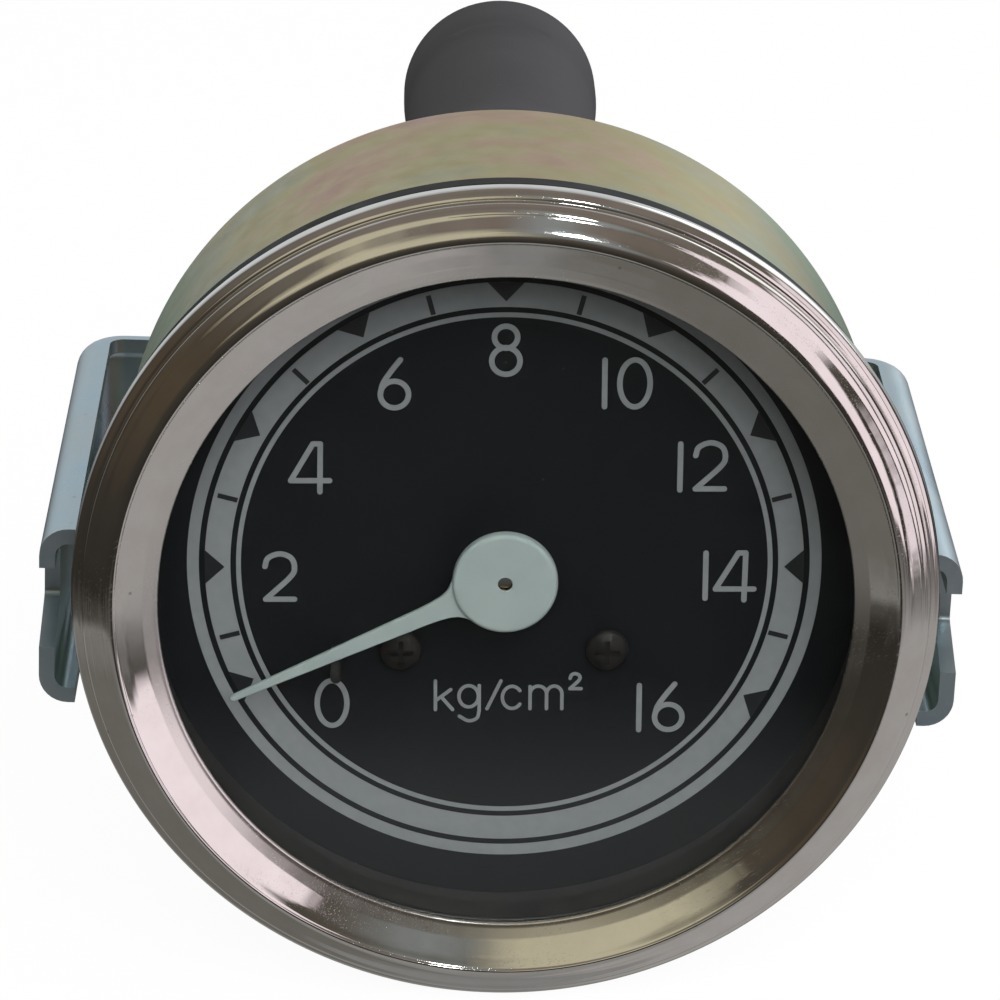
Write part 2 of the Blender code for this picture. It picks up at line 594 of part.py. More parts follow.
# ---- lamp ------------------------------------------------------------------------------------------------------
def build_lamp():
    centre = (LAMP_X, LAMP_Z)
    wall_rear = CASE_REAR_Y + GAP
    sleeve = [(LAMP_BORE_R, 18.0), (6.3, 18.0), (6.3, wall_rear), (7.3, wall_rear),
              (7.3, wall_rear + 1.0), (LAMP_BORE_R, wall_rear + 1.0)]
    turned("lamp_sleeve", "black", sleeve, SIDES_MEDIUM, centre)
    pivot = (LAMP_X, 0.0, LAMP_Z)
    holder = [(4.5, 19.2), (5.3, 19.2), (5.3, 40.0), (1.3, 40.0), (1.3, 38.8), (4.5, 38.8)]
    turned("lamp_holder", "steel", holder, SIDES_MEDIUM, centre, pivot)
    cap = [(0.0, 20.0), (4.2, 20.0), (4.2, 29.0), (3.0, 30.0), (0.0, 30.0)]
    turned("bulb_cap", "brass", cap, SIDES_SMALL, centre, pivot)
    glass = [(0.0, 14.4)] + arc((0.0, 18.0), 3.6, 300.0, 360.0, 3) + [(3.6, 19.7), (0.0, 19.7)]
    turned("bulb_glass", "bulb", glass, SIDES_SMALL, centre, pivot)
    contact = [(0.0, 30.3), (1.0, 30.3), (1.0, 44.0), (0.0, 44.0)]
    turned("lamp_contact", "brass", contact, SIDES_PIN, centre, pivot)
    front, rear = BOOT_Y
    outside = [(8.45, front), (8.4, front + 1.5), (7.95, front + 5.0), (7.95, rear - 12.0),
               (BOOT_R, rear - 8.0), (BOOT_R, rear - 1.2), (BOOT_R - 0.4, rear - 0.4),
               (BOOT_R - 1.2, rear)]
    inside = [(2.0, rear), (2.0, 47.0), (5.6, 45.0), (5.6, front)]
    turned("lamp_boot", "rubber", outside + inside, SIDES_MEDIUM, centre, pivot)


# ---- bracket ---------------------------------------------------------------------------------------------------
def flat_u(half_w, y_range, corner, z_range):
    """A plate in plan with rounded rear corners, extruded along Z."""
    front, rear = y_range
    plan = [(BRACKET_X + half_w, front)]
    plan += arc((BRACKET_X + half_w - corner, rear - corner), corner, 0.0, 90.0, 4)
    plan += arc((BRACKET_X - half_w + corner, rear - corner), corner, 90.0, 180.0, 4)
    plan += [(BRACKET_X - half_w, front)]
    bm = bmesh.new()
    face = bm.faces.new([bm.verts.new((x, y, z_range[0])) for x, y in plan])
    moved = bmesh.ops.extrude_face_region(bm, geom=[face])["geom"]
    verts = [item for item in moved if isinstance(item, bmesh.types.BMVert)]
    bmesh.ops.translate(bm, verts=verts, vec=(0.0, 0.0, z_range[1] - z_range[0]))
    bmesh.ops.recalc_face_normals(bm, faces=bm.faces)
    return bm


def round_bends(bm, front, radius, segments):
    """Round the long edges where the web turns into its two flanges."""
    level = [e for e in bm.edges if abs(e.verts[0].co.z - e.verts[1].co.z) < 1e-6]
    long = [e for e in level if not all(abs(v.co.y - front) < 1e-6 for v in e.verts)]
    bmesh.ops.bevel(bm, geom=long, offset=radius, segments=segments, profile=0.5, affect="EDGES")


def tilted(bm):
    """Turn a mesh about the stem, as the bracket sits on it."""
    bmesh.ops.rotate(bm, verts=bm.verts, cent=(0.0, 0.0, STEM_Z),
                     matrix=Matrix.Rotation(math.radians(BRACKET_TILT), 3, "Y"))
    return bm


def build_bracket():
    """Channel-section U of zinc-plated sheet with notched feet."""
    front, rear = BRACKET_Y
    low, high = STEM_Z - BRACKET_HALF_H, STEM_Z + BRACKET_HALF_H
    pivot = (0.0, rear, STEM_Z)
    outer = flat_u(BRACKET_HALF_W, BRACKET_Y, BRACKET_CORNER_R, (low, high))
    round_bends(outer, front, BRACKET_BEND_R, 3)
    bracket = finish_object(tilted(outer), "bracket", "zinc", pivot)
    sheet = BRACKET_SHEET
    channel = flat_u(BRACKET_HALF_W - sheet, (front - 5.0, rear - sheet),
                     BRACKET_CORNER_R - sheet, (low + sheet, high - sheet))
    round_bends(channel, front - 5.0, BRACKET_BEND_R - sheet, 2)
    boolean(bracket, tilted(channel), "channel")
    flange = BRACKET_FLANGE
    throat = flat_u(BRACKET_HALF_W - flange, (front - 5.0, rear - flange),
                    BRACKET_CORNER_R - flange, (low - 1.0, high + 1.0))
    boolean(bracket, tilted(throat), "throat")
    lug_bottom = high - 3.2
    profile = [(front - 1.0, lug_bottom), (front + NOTCH_DEPTH, lug_bottom),
               (front + NOTCH_DEPTH, lug_bottom - 4.5), (front, lug_bottom - 6.5),
               (front - 1.0, lug_bottom - 6.5)]
    notch = bmesh.new()
    face = notch.faces.new([notch.verts.new((-50.0, y, z)) for y, z in profile])
    moved = bmesh.ops.extrude_face_region(notch, geom=[face])["geom"]
    verts = [item for item in moved if isinstance(item, bmesh.types.BMVert)]
    bmesh.ops.translate(notch, verts=verts, vec=(100.0, 0.0, 0.0))
    boolean(bracket, tilted(notch), "notches")
    drill(bracket, "stem_hole", (0.0, STEM_Z), STEM_R + 0.4, (rear - 3.0, rear + 1.0), SIDES_MEDIUM)
    ring("bracket_washer", "zinc", (STEM_R + 0.4, 10.0), (rear + GAP, rear + GAP + 1.0),
         SIDES_MEDIUM, (0.0, STEM_Z))


def build_nut():
    corner_r = NUT_FLATS / 2 / math.cos(math.radians(30.0))
    pivot = (0.0, NUT_Y[0], STEM_Z)
    nut = prism("bracket_nut", "zinc", circle((0.0, STEM_Z), corner_r, 6), NUT_Y, pivot)
    drill(nut, "thread", (0.0, STEM_Z), STEM_R + 0.15, (NUT_Y[0] - 1.0, NUT_Y[1] + 1.0), SIDES_MEDIUM)


def main():
    clear_scene()
    build_case()
    build_bezel()
    build_window()
    build_dial()
    build_plates()
    build_pillars()
    build_spindle()
    build_sector()
    build_link()
    build_hairspring()
    build_stops()
    build_tube()
    build_tube_tip()
    build_socket()
    build_pointer()
    build_lamp()
    build_bracket()
    build_nut()


main()
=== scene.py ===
"""Looks of a panel-mounted pressure gauge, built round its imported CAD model.

Sizes are in millimetres and become metres when a mesh is made.  The gauge's axis
is Y: the dial faces -Y, +Z is twelve o'clock and +X is the reader's right.
"""
import math

import bmesh
import bpy
from mathutils import Matrix, Vector


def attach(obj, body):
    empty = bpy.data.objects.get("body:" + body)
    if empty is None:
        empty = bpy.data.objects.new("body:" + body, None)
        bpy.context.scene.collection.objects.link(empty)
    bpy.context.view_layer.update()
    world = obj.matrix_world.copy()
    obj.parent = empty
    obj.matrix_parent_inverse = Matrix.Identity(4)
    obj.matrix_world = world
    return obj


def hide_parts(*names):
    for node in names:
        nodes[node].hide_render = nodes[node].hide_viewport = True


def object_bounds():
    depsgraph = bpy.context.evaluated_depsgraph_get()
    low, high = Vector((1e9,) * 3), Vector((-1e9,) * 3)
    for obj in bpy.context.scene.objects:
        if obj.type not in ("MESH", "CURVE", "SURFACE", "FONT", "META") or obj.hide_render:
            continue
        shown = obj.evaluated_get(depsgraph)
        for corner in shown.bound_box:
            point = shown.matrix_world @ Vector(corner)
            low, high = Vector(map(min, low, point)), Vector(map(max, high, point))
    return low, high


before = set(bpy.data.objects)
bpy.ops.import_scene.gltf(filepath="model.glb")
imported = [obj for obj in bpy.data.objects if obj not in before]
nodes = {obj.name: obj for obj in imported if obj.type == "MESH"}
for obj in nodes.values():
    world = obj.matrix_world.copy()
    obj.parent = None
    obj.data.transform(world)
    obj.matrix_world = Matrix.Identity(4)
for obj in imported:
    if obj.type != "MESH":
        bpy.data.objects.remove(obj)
cad_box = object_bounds()

MM = 0.001
TURN = 2 * math.pi
FINE = 256                           # sides of the large round pieces
MEDIUM = 96
SMALL = 48

# ---- bezel, window and case ----------------------------------------------------------
# Radius and place of the bezel's outline from the lip outwards: a satin lip, an inner
# cone, a narrow crest, a roll with two ridges and a shallow hollow, a groove and a bead.
BEZEL_OUTSIDE = [(25.9, -4.75), (26.02, -5.0, 0.1), (26.3, -5.1, 0.1), (27.1, -5.5, 0.12),
                 (28.4, -6.3), (29.0, -6.62, 0.1), (29.16, -6.8, 0.08), (29.42, -6.8, 0.12),
                 (29.8, -6.68), (30.2, -6.4), (30.9, -5.8), (31.15, -5.66), (31.42, -5.42),
                 (31.6, -5.05), (31.68, -4.62, 0.1), (32.0, -4.52), (32.35, -4.12), (32.5, -3.5),
                 (32.47, -2.95), (32.2, -2.45), (31.7, -2.05), (31.0, -1.9)]
BEZEL_INSIDE = [(31.0, -2.35), (31.7, -2.45), (31.7, -3.3), (31.2, -3.75), (31.0, -4.6),
                (30.3, -5.5), (29.4, -6.0), (28.9, -5.95), (27.6, -5.0), (26.6, -4.75)]
GLASS_R = 28.6
GLASS_Y = (-4.3, -2.3)
SPACER_R = (27.2, 28.9)
SPACER_Y = (-1.0, 3.9)
GASKET_R = (30.35, 32.1)
GASKET_Y = (-1.88, 0.0)
CASE_R = 30.05
CASE_WALL = 0.8
CASE_REAR_Y = 25.3
CASE_CORNER = 1.2                    # inside; the outer corner is a little larger
CASE_FLANGE = (31.4, -3.2, -2.7)     # radius, front, rear

# ---- dial ----------------------------------------------------------------------------
DIAL_R = 28.9
DIAL_BORE_R = 1.7
DIAL_Y = (4.2, 4.7)
DIAL_SCREWS = ((-7.9, -6.7), (7.9, -6.7))
DIAL_SCREW_HOLE_R = 1.1
STOP_PIN = (-12.8, -6.92)
STOP_PIN_HOLE_R = 0.52
PRINT_THICK = 0.03
SCALE_BAND = (20.85, 22.8)
PRINTED_RINGS = ((20.05, 20.42), (23.25, 24.15))
LAST_NUMBER = 16
NUMBER_STEP = 15.0                   # degrees between two whole numbers
TOP_NUMBER = 8                       # the number at twelve o'clock
ZERO_ANGLE = 205.7                   # the 0 mark stands nearer to 1 than the others do
TICK = (20.95, 22.5, 0.19)           # odd numbers: inner and outer radius, half-width
WEDGE = (21.3, 22.8, 1.4)            # even numbers: tip and base radius, half-width
NUMERAL_STROKE = 0.42
UNIT_STROKE = 0.27
UNIT_TOP = (-9.71, -9.46)            # top of the "/" as drawn below, and on the dial
UNIT_SQUASH = 0.956
NUMERALS = (("0", -13.2, -11.3), ("2", -17.1, -0.9), ("4", -14.7, 8.1), ("6", -8.35, 14.7),
            ("8", 0.0, 17.4), ("10", 9.1, 14.8), ("12", 14.9, 8.1), ("14", 17.0, -0.75),
            ("16", 12.1, -11.7))

# ---- pointer -------------------------------------------------------------------------
POINTER_ANGLE = math.radians(204.8)
HUB_R = 4.0
HUB_Y = (0.5, 1.4)
BLADE_Y = (0.95, 1.4)
BLADE_EDGE = ((2.6, 2.6), (3.55, 1.85), (3.95, 1.42), (4.4, 1.1), (5.0, 0.9), (5.8, 0.78),
              (6.8, 0.71), (22.7, 0.24), (23.0, 0.1))    # distance from the centre, half-width

# ---- rear ----------------------------------------------------------------------------
STEM_Z = -4.5
STEM_R = 6.0
STEM_Y = (23.8, 64.0)
STEM_BORE_R = 1.9
STEM_BORE_FLOOR_Y = 24.0
THREAD_END_Y = 63.3
THREAD_PITCH = 1.5
THREAD_DEPTH = 0.75
LAMP_PLACE = (0.4, 20.5)
LAMP_HOLE_R = 6.6
CASE_SCREWS = ((-12.5, STEM_Z), (12.5, STEM_Z))
CASE_SCREW_HOLE_R = 1.6
FITTING_Y = CASE_REAR_Y + 0.3        # front of the fittings that stand on the case's rear
BOOT_Y = (27.0, 62.5)

# ---- bracket -------------------------------------------------------------------------
BRACKET_X = -0.35
BRACKET_HALF_W = 35.05
BRACKET_Y = (2.0, 48.7)
BRACKET_HALF_H = 7.1
BRACKET_TILT = math.radians(1.8)
BRACKET_SHEET = 1.2
BRACKET_FLANGE = 2.75
BRACKET_BEND_R = 2.2
BRACKET_CORNER_R = 4.0
BRACKET_CORNER_STEPS = 14
NOTCH_DEPTH = 6.0
LUG_DROP = 3.2                       # thickness of each foot's upper lug
NUT_Y = (50.3, 56.3)
NUT_FLATS = 18.0

# ---- camera and stage, in metres -----------------------------------------------------
CAMERA_PLACE = Vector((-0.0064, -0.3323, 0.1347))
CAMERA_AIM = Vector((-0.000535, -0.0053, 0.008825))
CAMERA_ROLL = math.radians(0.36)
CAMERA_LENS = 171.1
FLOOR_HALF = 4.0


# ---- node trees ----------------------------------------------------------------------
def node(tree, kind, inputs=None, **settings):
    """Add a node; inputs maps socket names or numbers to values or to other sockets."""
    made = tree.nodes.new(kind)
    for key, value in settings.items():
        setattr(made, key, value)
    for key, value in (inputs or {}).items():
        if isinstance(value, bpy.types.NodeSocket):
            tree.links.new(value, made.inputs[key])
        else:
            made.inputs[key].default_value = value
    return made


def math_node(tree, operation, first, second=0.0, clamp=False):
    return node(tree, "ShaderNodeMath", {0: first, 1: second},
                operation=operation, use_clamp=clamp).outputs[0]


def remap(tree, value, low, high, to_low=0.0, to_high=1.0):
    return node(tree, "ShaderNodeMapRange",
                {"Value": value, "From Min": low, "From Max": high,
                 "To Min": to_low, "To Max": to_high}).outputs["Result"]


def mixed(tree, factor, first, second):
    made = node(tree, "ShaderNodeMix", {0: factor, 6: first, 7: second}, data_type="RGBA")
    return made.outputs[2]


def colour_ramp(tree, factor, stops):
    made = node(tree, "ShaderNodeValToRGB", {"Fac": factor})
    elements = made.color_ramp.elements
    for index, (place, colour) in enumerate(stops):
        element = elements[index] if index < 2 else elements.new(place)
        element.position = place
        element.color = (*colour, 1.0)
    return made.outputs["Color"]


def new_group(name, inputs, outputs):
    """A shader node group with its sockets made; returns (tree, its inputs, link_output)."""
    tree = bpy.data.node_groups.new(name, "ShaderNodeTree")
    for socket, kind, value in inputs:
        made = tree.interface.new_socket(socket, in_out="INPUT", socket_type=kind)
        if value is not None:
            made.default_value = value
    for socket, kind in outputs:
        tree.interface.new_socket(socket, in_out="OUTPUT", socket_type=kind)
    entry = node(tree, "NodeGroupInput")
    leave = node(tree, "NodeGroupOutput")

    def link_output(socket, value):
        tree.links.new(value, leave.inputs[socket])

    return tree, entry.outputs, link_output


FLOAT = "NodeSocketFloat"
VECTOR = "NodeSocketVector"
COLOUR = "NodeSocketColor"


def noise(tree, vector, scale, detail=3.0, roughness=0.5):
    return node(tree, "ShaderNodeTexNoise",
                {"Vector": vector, "Scale": scale, "Detail": detail,
                 "Roughness": roughness}).outputs["Fac"]


def blotches_group():
    """Soft uneven patches, as in handled or plated surfaces."""
    tree, given, put = new_group(
        "blotches", [("Vector", VECTOR, None), ("Scale", FLOAT, 0.2), ("Contrast", FLOAT, 0.2)],
        [("Mask", FLOAT)])
    value = noise(tree, given["Vector"], given["Scale"], 4.0, 0.55)
    low = math_node(tree, "SUBTRACT", 0.5, given["Contrast"])
    high = math_node(tree, "ADD", 0.5, given["Contrast"])
    put("Mask", remap(tree, value, low, high))
    return tree


def grain_group():
    """Fine grain of paint, rubber or a satin metal."""
    tree, given, put = new_group(
        "grain", [("Vector", VECTOR, None), ("Scale", FLOAT, 6.0)], [("Height", FLOAT)])
    fine = noise(tree, given["Vector"], given["Scale"], 2.0, 0.6)
    double = math_node(tree, "MULTIPLY", given["Scale"], 2.7)
    finer = noise(tree, given["Vector"], double, 1.0, 0.5)
    put("Height", math_node(tree, "ADD", fine, math_node(tree, "MULTIPLY", finer, 0.4)))
    return tree


def hairlines_group():
    """Hairlines in two directions, kept to a few lines by a coarse mask."""
    tree, given, put = new_group(
        "hairlines", [("Vector", VECTOR, None), ("Scale", FLOAT, 1.0), ("Amount", FLOAT, 0.5)],
        [("Mask", FLOAT)])
    layers = []
    for turn, stretch in ((0.6, (0.35, 9.0, 9.0)), (-0.9, (9.0, 9.0, 0.3))):
        turned = node(tree, "ShaderNodeVectorRotate",
                      {"Vector": given["Vector"], "Axis": (0.3, 1.0, 0.2), "Angle": turn})
        scaled = node(tree, "ShaderNodeVectorMath",
                      {0: turned.outputs[0], 1: stretch}, operation="MULTIPLY")
        line = noise(tree, scaled.outputs[0], given["Scale"], 2.0, 0.5)
        layers.append(remap(tree, line, 0.66, 0.72))
    lines = math_node(tree, "MAXIMUM", layers[0], layers[1])
    coarse = remap(tree, noise(tree, given["Vector"], 0.15, 2.0), 0.42, 0.6)
    kept = math_node(tree, "MULTIPLY", lines, coarse)
    put("Mask", math_node(tree, "MULTIPLY", kept, given["Amount"]))
    return tree


def dust_group():
    """Scattered specks: cells whose centre is close, and only some of the cells."""
    tree, given, put = new_group(
        "dust", [("Vector", VECTOR, None), ("Scale", FLOAT, 0.6), ("Share", FLOAT, 0.2)],
        [("Mask", FLOAT)])
    cells = node(tree, "ShaderNodeTexVoronoi",
                 {"Vector": given["Vector"], "Scale": given["Scale"]})
    near = remap(tree, cells.outputs["Distance"], 0.10, 0.03)
    chosen = node(tree, "ShaderNodeSeparateColor", {"Color": cells.outputs["Color"]})
    picked = math_node(tree, "LESS_THAN", chosen.outputs[0], given["Share"])
    put("Mask", math_node(tree, "MULTIPLY", near, picked))
    return tree


def chromate_group():
    """Passivation film: yellow-olive in the middle, green at the sides, pink to the left."""
    tree, given, put = new_group(
        "chromate", [("Vector", VECTOR, None)], [("Color", COLOUR), ("Film", FLOAT)])
    parts = node(tree, "ShaderNodeSeparateXYZ", {"Vector": given["Vector"]}).outputs
    cloud = noise(tree, given["Vector"], 0.045, 4.0, 0.6)
    squeezed = node(tree, "ShaderNodeVectorMath",
                    {0: given["Vector"], 1: (0.5, 1.6, 0.5)}, operation="MULTIPLY")
    drift = noise(tree, squeezed.outputs[0], 0.11, 3.0, 0.55)
    side = remap(tree, math_node(tree, "ABSOLUTE", math_node(tree, "ADD", parts["X"], 1.0)),
                 12.0, 29.0)
    rear = remap(tree, parts["Y"], -2.0, 25.0)
    wave = math_node(tree, "ADD", math_node(tree, "MULTIPLY", cloud, 0.9),
                     math_node(tree, "MULTIPLY", drift, 0.5))
    place = math_node(tree, "SUBTRACT", wave, math_node(tree, "MULTIPLY", rear, 0.28))
    film = math_node(tree, "ADD", place, math_node(tree, "MULTIPLY", side, 0.42))
    stops = ((0.30, (0.50, 0.30, 0.27)), (0.42, (0.56, 0.40, 0.26)), (0.52, (0.50, 0.44, 0.22)),
             (0.64, (0.46, 0.44, 0.30)), (0.78, (0.38, 0.46, 0.31)), (0.95, (0.40, 0.52, 0.40)))
    put("Color", colour_ramp(tree, film, stops))
    put("Film", film)
    return tree


GROUPS = {"blotches": blotches_group(), "grain": grain_group(), "hairlines": hairlines_group(),
          "dust": dust_group(), "chromate": chromate_group()}


def effect(tree, name, **inputs):
    made = node(tree, "ShaderNodeGroup", node_tree=GROUPS[name])
    for key, value in inputs.items():
        if isinstance(value, bpy.types.NodeSocket):
            tree.links.new(value, made.inputs[key])
        else:
            made.inputs[key].default_value = value
    return made.outputs


# ---- materials -----------------------------------------------------------------------
def started(name, **fixed):
    """A material with its Principled shader, and coordinates in millimetres."""
    made = bpy.data.materials.new(name)
    made.use_nodes = True
    tree = made.node_tree
    shader = tree.nodes["Principled BSDF"]
    for key, value in fixed.items():
        shader.inputs[key.replace("_", " ")].default_value = value
    place = node(tree, "ShaderNodeTexCoord").outputs["Object"]
    scaled = node(tree, "ShaderNodeVectorMath", {0: place, "Scale": 1000.0}, operation="SCALE")
    return made, tree, shader, scaled.outputs[0]


def wire(tree, shader, **sockets):
    for key, value in sockets.items():
        tree.links.new(value, shader.inputs[key.replace("_", " ")])


def bump(tree, shader, height, distance, strength=1.0):
    made = node(tree, "ShaderNodeBump",
                {"Height": height, "Distance": distance * MM, "Strength": strength})
    tree.links.new(made.outputs["Normal"], shader.inputs["Normal"])


def two_tone(name, dark, light, rough, scale=0.3, contrast=0.2, grain=8.0, height=0.004, **fixed):
    """A finish that drifts between two colours and two roughnesses, with a fine grain."""
    made, tree, shader, place = started(name, **fixed)
    mask = effect(tree, "blotches", Vector=place, Scale=scale, Contrast=contrast)["Mask"]
    wire(tree, shader, Base_Color=mixed(tree, mask, (*dark, 1.0), (*light, 1.0)),
         Roughness=remap(tree, mask, 0.0, 1.0, *rough))
    fine = effect(tree, "grain", Vector=place, Scale=grain)["Height"]
    bump(tree, shader, fine, height)
    return made


def chrome():
    made, tree, shader, place = started("polished_nickel", Metallic=1.0)
    smudge = effect(tree, "blotches", Vector=place, Scale=0.35, Contrast=0.16)["Mask"]
    lines = effect(tree, "hairlines", Vector=place, Scale=1.3, Amount=0.8)["Mask"]
    pits = effect(tree, "dust", Vector=place, Scale=0.5, Share=0.05)["Mask"]
    flat = node(tree, "ShaderNodeVectorMath", {0: place, 1: (1.0, 0.0, 1.0)}, operation="MULTIPLY")
    radius = node(tree, "ShaderNodeVectorMath", {0: flat.outputs[0]}, operation="LENGTH")
    satin = remap(tree, radius.outputs["Value"], 27.15, 27.0)
    clean = mixed(tree, smudge, (0.80, 0.765, 0.72, 1.0), (0.86, 0.83, 0.79, 1.0))
    colour = mixed(tree, pits, clean, (0.42, 0.39, 0.35, 1.0))
    worn = math_node(tree, "MAXIMUM", lines, pits)
    polish = math_node(tree, "ADD", remap(tree, smudge, 0.0, 1.0, 0.035, 0.085),
                       math_node(tree, "MULTIPLY", worn, 0.16))
    roughness = math_node(tree, "ADD", polish, math_node(tree, "MULTIPLY", satin, 0.16),
                          clamp=True)
    wire(tree, shader, Base_Color=colour, Roughness=roughness)
    ripple = noise(tree, place, 0.22, 2.0)
    height = math_node(tree, "SUBTRACT", math_node(tree, "MULTIPLY", ripple, 0.35),
                       math_node(tree, "MULTIPLY", lines, 0.06))
    bump(tree, shader, height, 0.03)
    return made


def chromated():
    made, tree, shader, place = started("yellow_chromate", Metallic=0.86)
    film = effect(tree, "chromate", Vector=place)
    dull = effect(tree, "blotches", Vector=place, Scale=0.5, Contrast=0.25)["Mask"]
    lines = effect(tree, "hairlines", Vector=place, Scale=0.9, Amount=0.5)["Mask"]
    tinted = mixed(tree, math_node(tree, "MULTIPLY", lines, 0.35), film["Color"],
                   (0.62, 0.60, 0.52, 1.0))
    wire(tree, shader, Base_Color=tinted, Roughness=remap(tree, dull, 0.0, 1.0, 0.34, 0.46))
    fine = effect(tree, "grain", Vector=place, Scale=5.0)["Height"]
    bump(tree, shader, math_node(tree, "SUBTRACT", fine, lines), 0.006)
    return made


def zinc():
    made, tree, shader, place = started("bright_zinc", Metallic=0.92)
    cloud = effect(tree, "blotches", Vector=place, Scale=0.16, Contrast=0.2)["Mask"]
    lines = effect(tree, "hairlines", Vector=place, Scale=0.8, Amount=0.8)["Mask"]
    spots = effect(tree, "dust", Vector=place, Scale=0.45, Share=0.3)["Mask"]
    plated = mixed(tree, cloud, (0.42, 0.545, 0.62, 1.0), (0.565, 0.65, 0.685, 1.0))
    lined = mixed(tree, math_node(tree, "MULTIPLY", lines, 0.5), plated, (0.74, 0.78, 0.79, 1.0))
    spotted = mixed(tree, math_node(tree, "MULTIPLY", spots, 0.6), lined, (0.30, 0.30, 0.27, 1.0))
    wire(tree, shader, Base_Color=spotted, Roughness=remap(tree, cloud, 0.0, 1.0, 0.26, 0.40))
    fine = effect(tree, "grain", Vector=place, Scale=3.0)["Height"]
    bump(tree, shader, math_node(tree, "SUBTRACT", fine, lines), 0.008)
    return made


def boot_rubber():
    made, tree, shader, place = started("boot_rubber", Specular_IOR_Level=0.35)
    bloom = effect(tree, "blotches", Vector=place, Scale=0.14, Contrast=0.22)["Mask"]
    specks = effect(tree, "dust", Vector=place, Scale=0.9, Share=0.16)["Mask"]
    base = mixed(tree, bloom, (0.064, 0.063, 0.069, 1.0), (0.102, 0.101, 0.110, 1.0))
    dusty = mixed(tree, math_node(tree, "MULTIPLY", specks, 0.5), base, (0.26, 0.25, 0.25, 1.0))
    wire(tree, shader, Base_Color=dusty, Roughness=remap(tree, bloom, 0.0, 1.0, 0.62, 0.8))
    fine = effect(tree, "grain", Vector=place, Scale=4.0)["Height"]
    bump(tree, shader, fine, 0.02)
    return made


def dial_black():
    made, tree, shader, place = started("dial_black", Specular_IOR_Level=0.25)
    cloud = effect(tree, "blotches", Vector=place, Scale=0.2, Contrast=0.25)["Mask"]
    specks = effect(tree, "dust", Vector=place, Scale=0.7, Share=0.05)["Mask"]
    paint = mixed(tree, cloud, (0.0040, 0.0052, 0.0068, 1.0), (0.0066, 0.0080, 0.0098, 1.0))
    dusty = mixed(tree, math_node(tree, "MULTIPLY", specks, 0.35), paint, (0.10, 0.10, 0.10, 1.0))
    wire(tree, shader, Base_Color=dusty, Roughness=remap(tree, cloud, 0.0, 1.0, 0.5, 0.62))
    fine = effect(tree, "grain", Vector=place, Scale=9.0)["Height"]
    bump(tree, shader, fine, 0.004)
    return made


def window_glass():
    """Clear glass that lets the lamps' shadow rays straight through."""
    made, tree, shader, place = started("window_glass", Metallic=0.0, Transmission_Weight=1.0,
                                        IOR=1.45, Specular_IOR_Level=0.5)
    shader.inputs["Base Color"].default_value = (0.96, 0.985, 0.975, 1.0)
    specks = effect(tree, "dust", Vector=place, Scale=0.55, Share=0.10)["Mask"]
    lines = effect(tree, "hairlines", Vector=place, Scale=1.0, Amount=0.5)["Mask"]
    marks = math_node(tree, "MAXIMUM", specks, lines)
    wire(tree, shader, Roughness=math_node(tree, "MULTIPLY", marks, 0.12))
    clear = node(tree, "ShaderNodeBsdfTransparent", {"Color": (0.93, 0.96, 0.95, 1.0)})
    ray = node(tree, "ShaderNodeLightPath").outputs["Is Shadow Ray"]
    both = node(tree, "ShaderNodeMixShader", {0: ray, 1: shader.outputs[0], 2: clear.outputs[0]})
    tree.links.new(both.outputs[0], tree.nodes["Material Output"].inputs["Surface"])
    return made


def machined_brass(name, dark, light, rough):
    made, tree, shader, place = started(name, Metallic=1.0)
    tarnish = effect(tree, "blotches", Vector=place, Scale=0.25, Contrast=0.18)["Mask"]
    lines = effect(tree, "hairlines", Vector=place, Scale=1.6, Amount=0.7)["Mask"]
    base = mixed(tree, tarnish, (*dark, 1.0), (*light, 1.0))
    wire(tree, shader, Base_Color=base, Roughness=remap(tree, tarnish, 0.0, 1.0, *rough))
    bump(tree, shader, lines, 0.004)
    return made


CHROME = chrome()
CHROMATE = chromated()
ZINC = zinc()
BOOT = boot_rubber()
DIAL = dial_black()
GLASS = window_glass()
RUBBER = two_tone("gasket_rubber", (0.012, 0.012, 0.013), (0.026, 0.026, 0.027), (0.55, 0.75),
                  grain=5.0, height=0.02)
SPACER = two_tone("spacer_black", (0.020, 0.019, 0.018), (0.034, 0.032, 0.030), (0.34, 0.5),
                  height=0.006)
PRINT = two_tone("scale_ink", (0.235, 0.244, 0.256), (0.268, 0.276, 0.288), (0.5, 0.6),
                 scale=1.2, grain=10.0, height=0.003)
MARK_BLACK = two_tone("mark_ink", (0.007, 0.008, 0.010), (0.012, 0.013, 0.015), (0.45, 0.55),
                      scale=1.2, height=0.002)
POINTER_PAINT = two_tone("pointer_paint", (0.345, 0.405, 0.400), (0.385, 0.440, 0.432),
                         (0.38, 0.48), scale=0.5, grain=6.0, height=0.004,
                         Specular_IOR_Level=0.4)
BLACKENED = two_tone("blackened_steel", (0.008, 0.008, 0.009), (0.020, 0.017, 0.014),
                     (0.42, 0.6), scale=0.9, height=0.006, Metallic=0.2)
PLASTIC = two_tone("black_plastic", (0.013, 0.013, 0.013), (0.022, 0.022, 0.022), (0.36, 0.5),
                   height=0.008)
STEEL = machined_brass("machined_steel", (0.40, 0.40, 0.40), (0.56, 0.56, 0.55), (0.26, 0.4))
BRASS = machined_brass("machined_brass", (0.46, 0.31, 0.11), (0.66, 0.48, 0.20), (0.24, 0.4))
BRONZE = machined_brass("drawn_bronze", (0.46, 0.27, 0.12), (0.64, 0.42, 0.20), (0.28, 0.44))
NICKELLED = machined_brass("nickelled_brass", (0.50, 0.47, 0.40), (0.64, 0.61, 0.54), (0.2, 0.34))


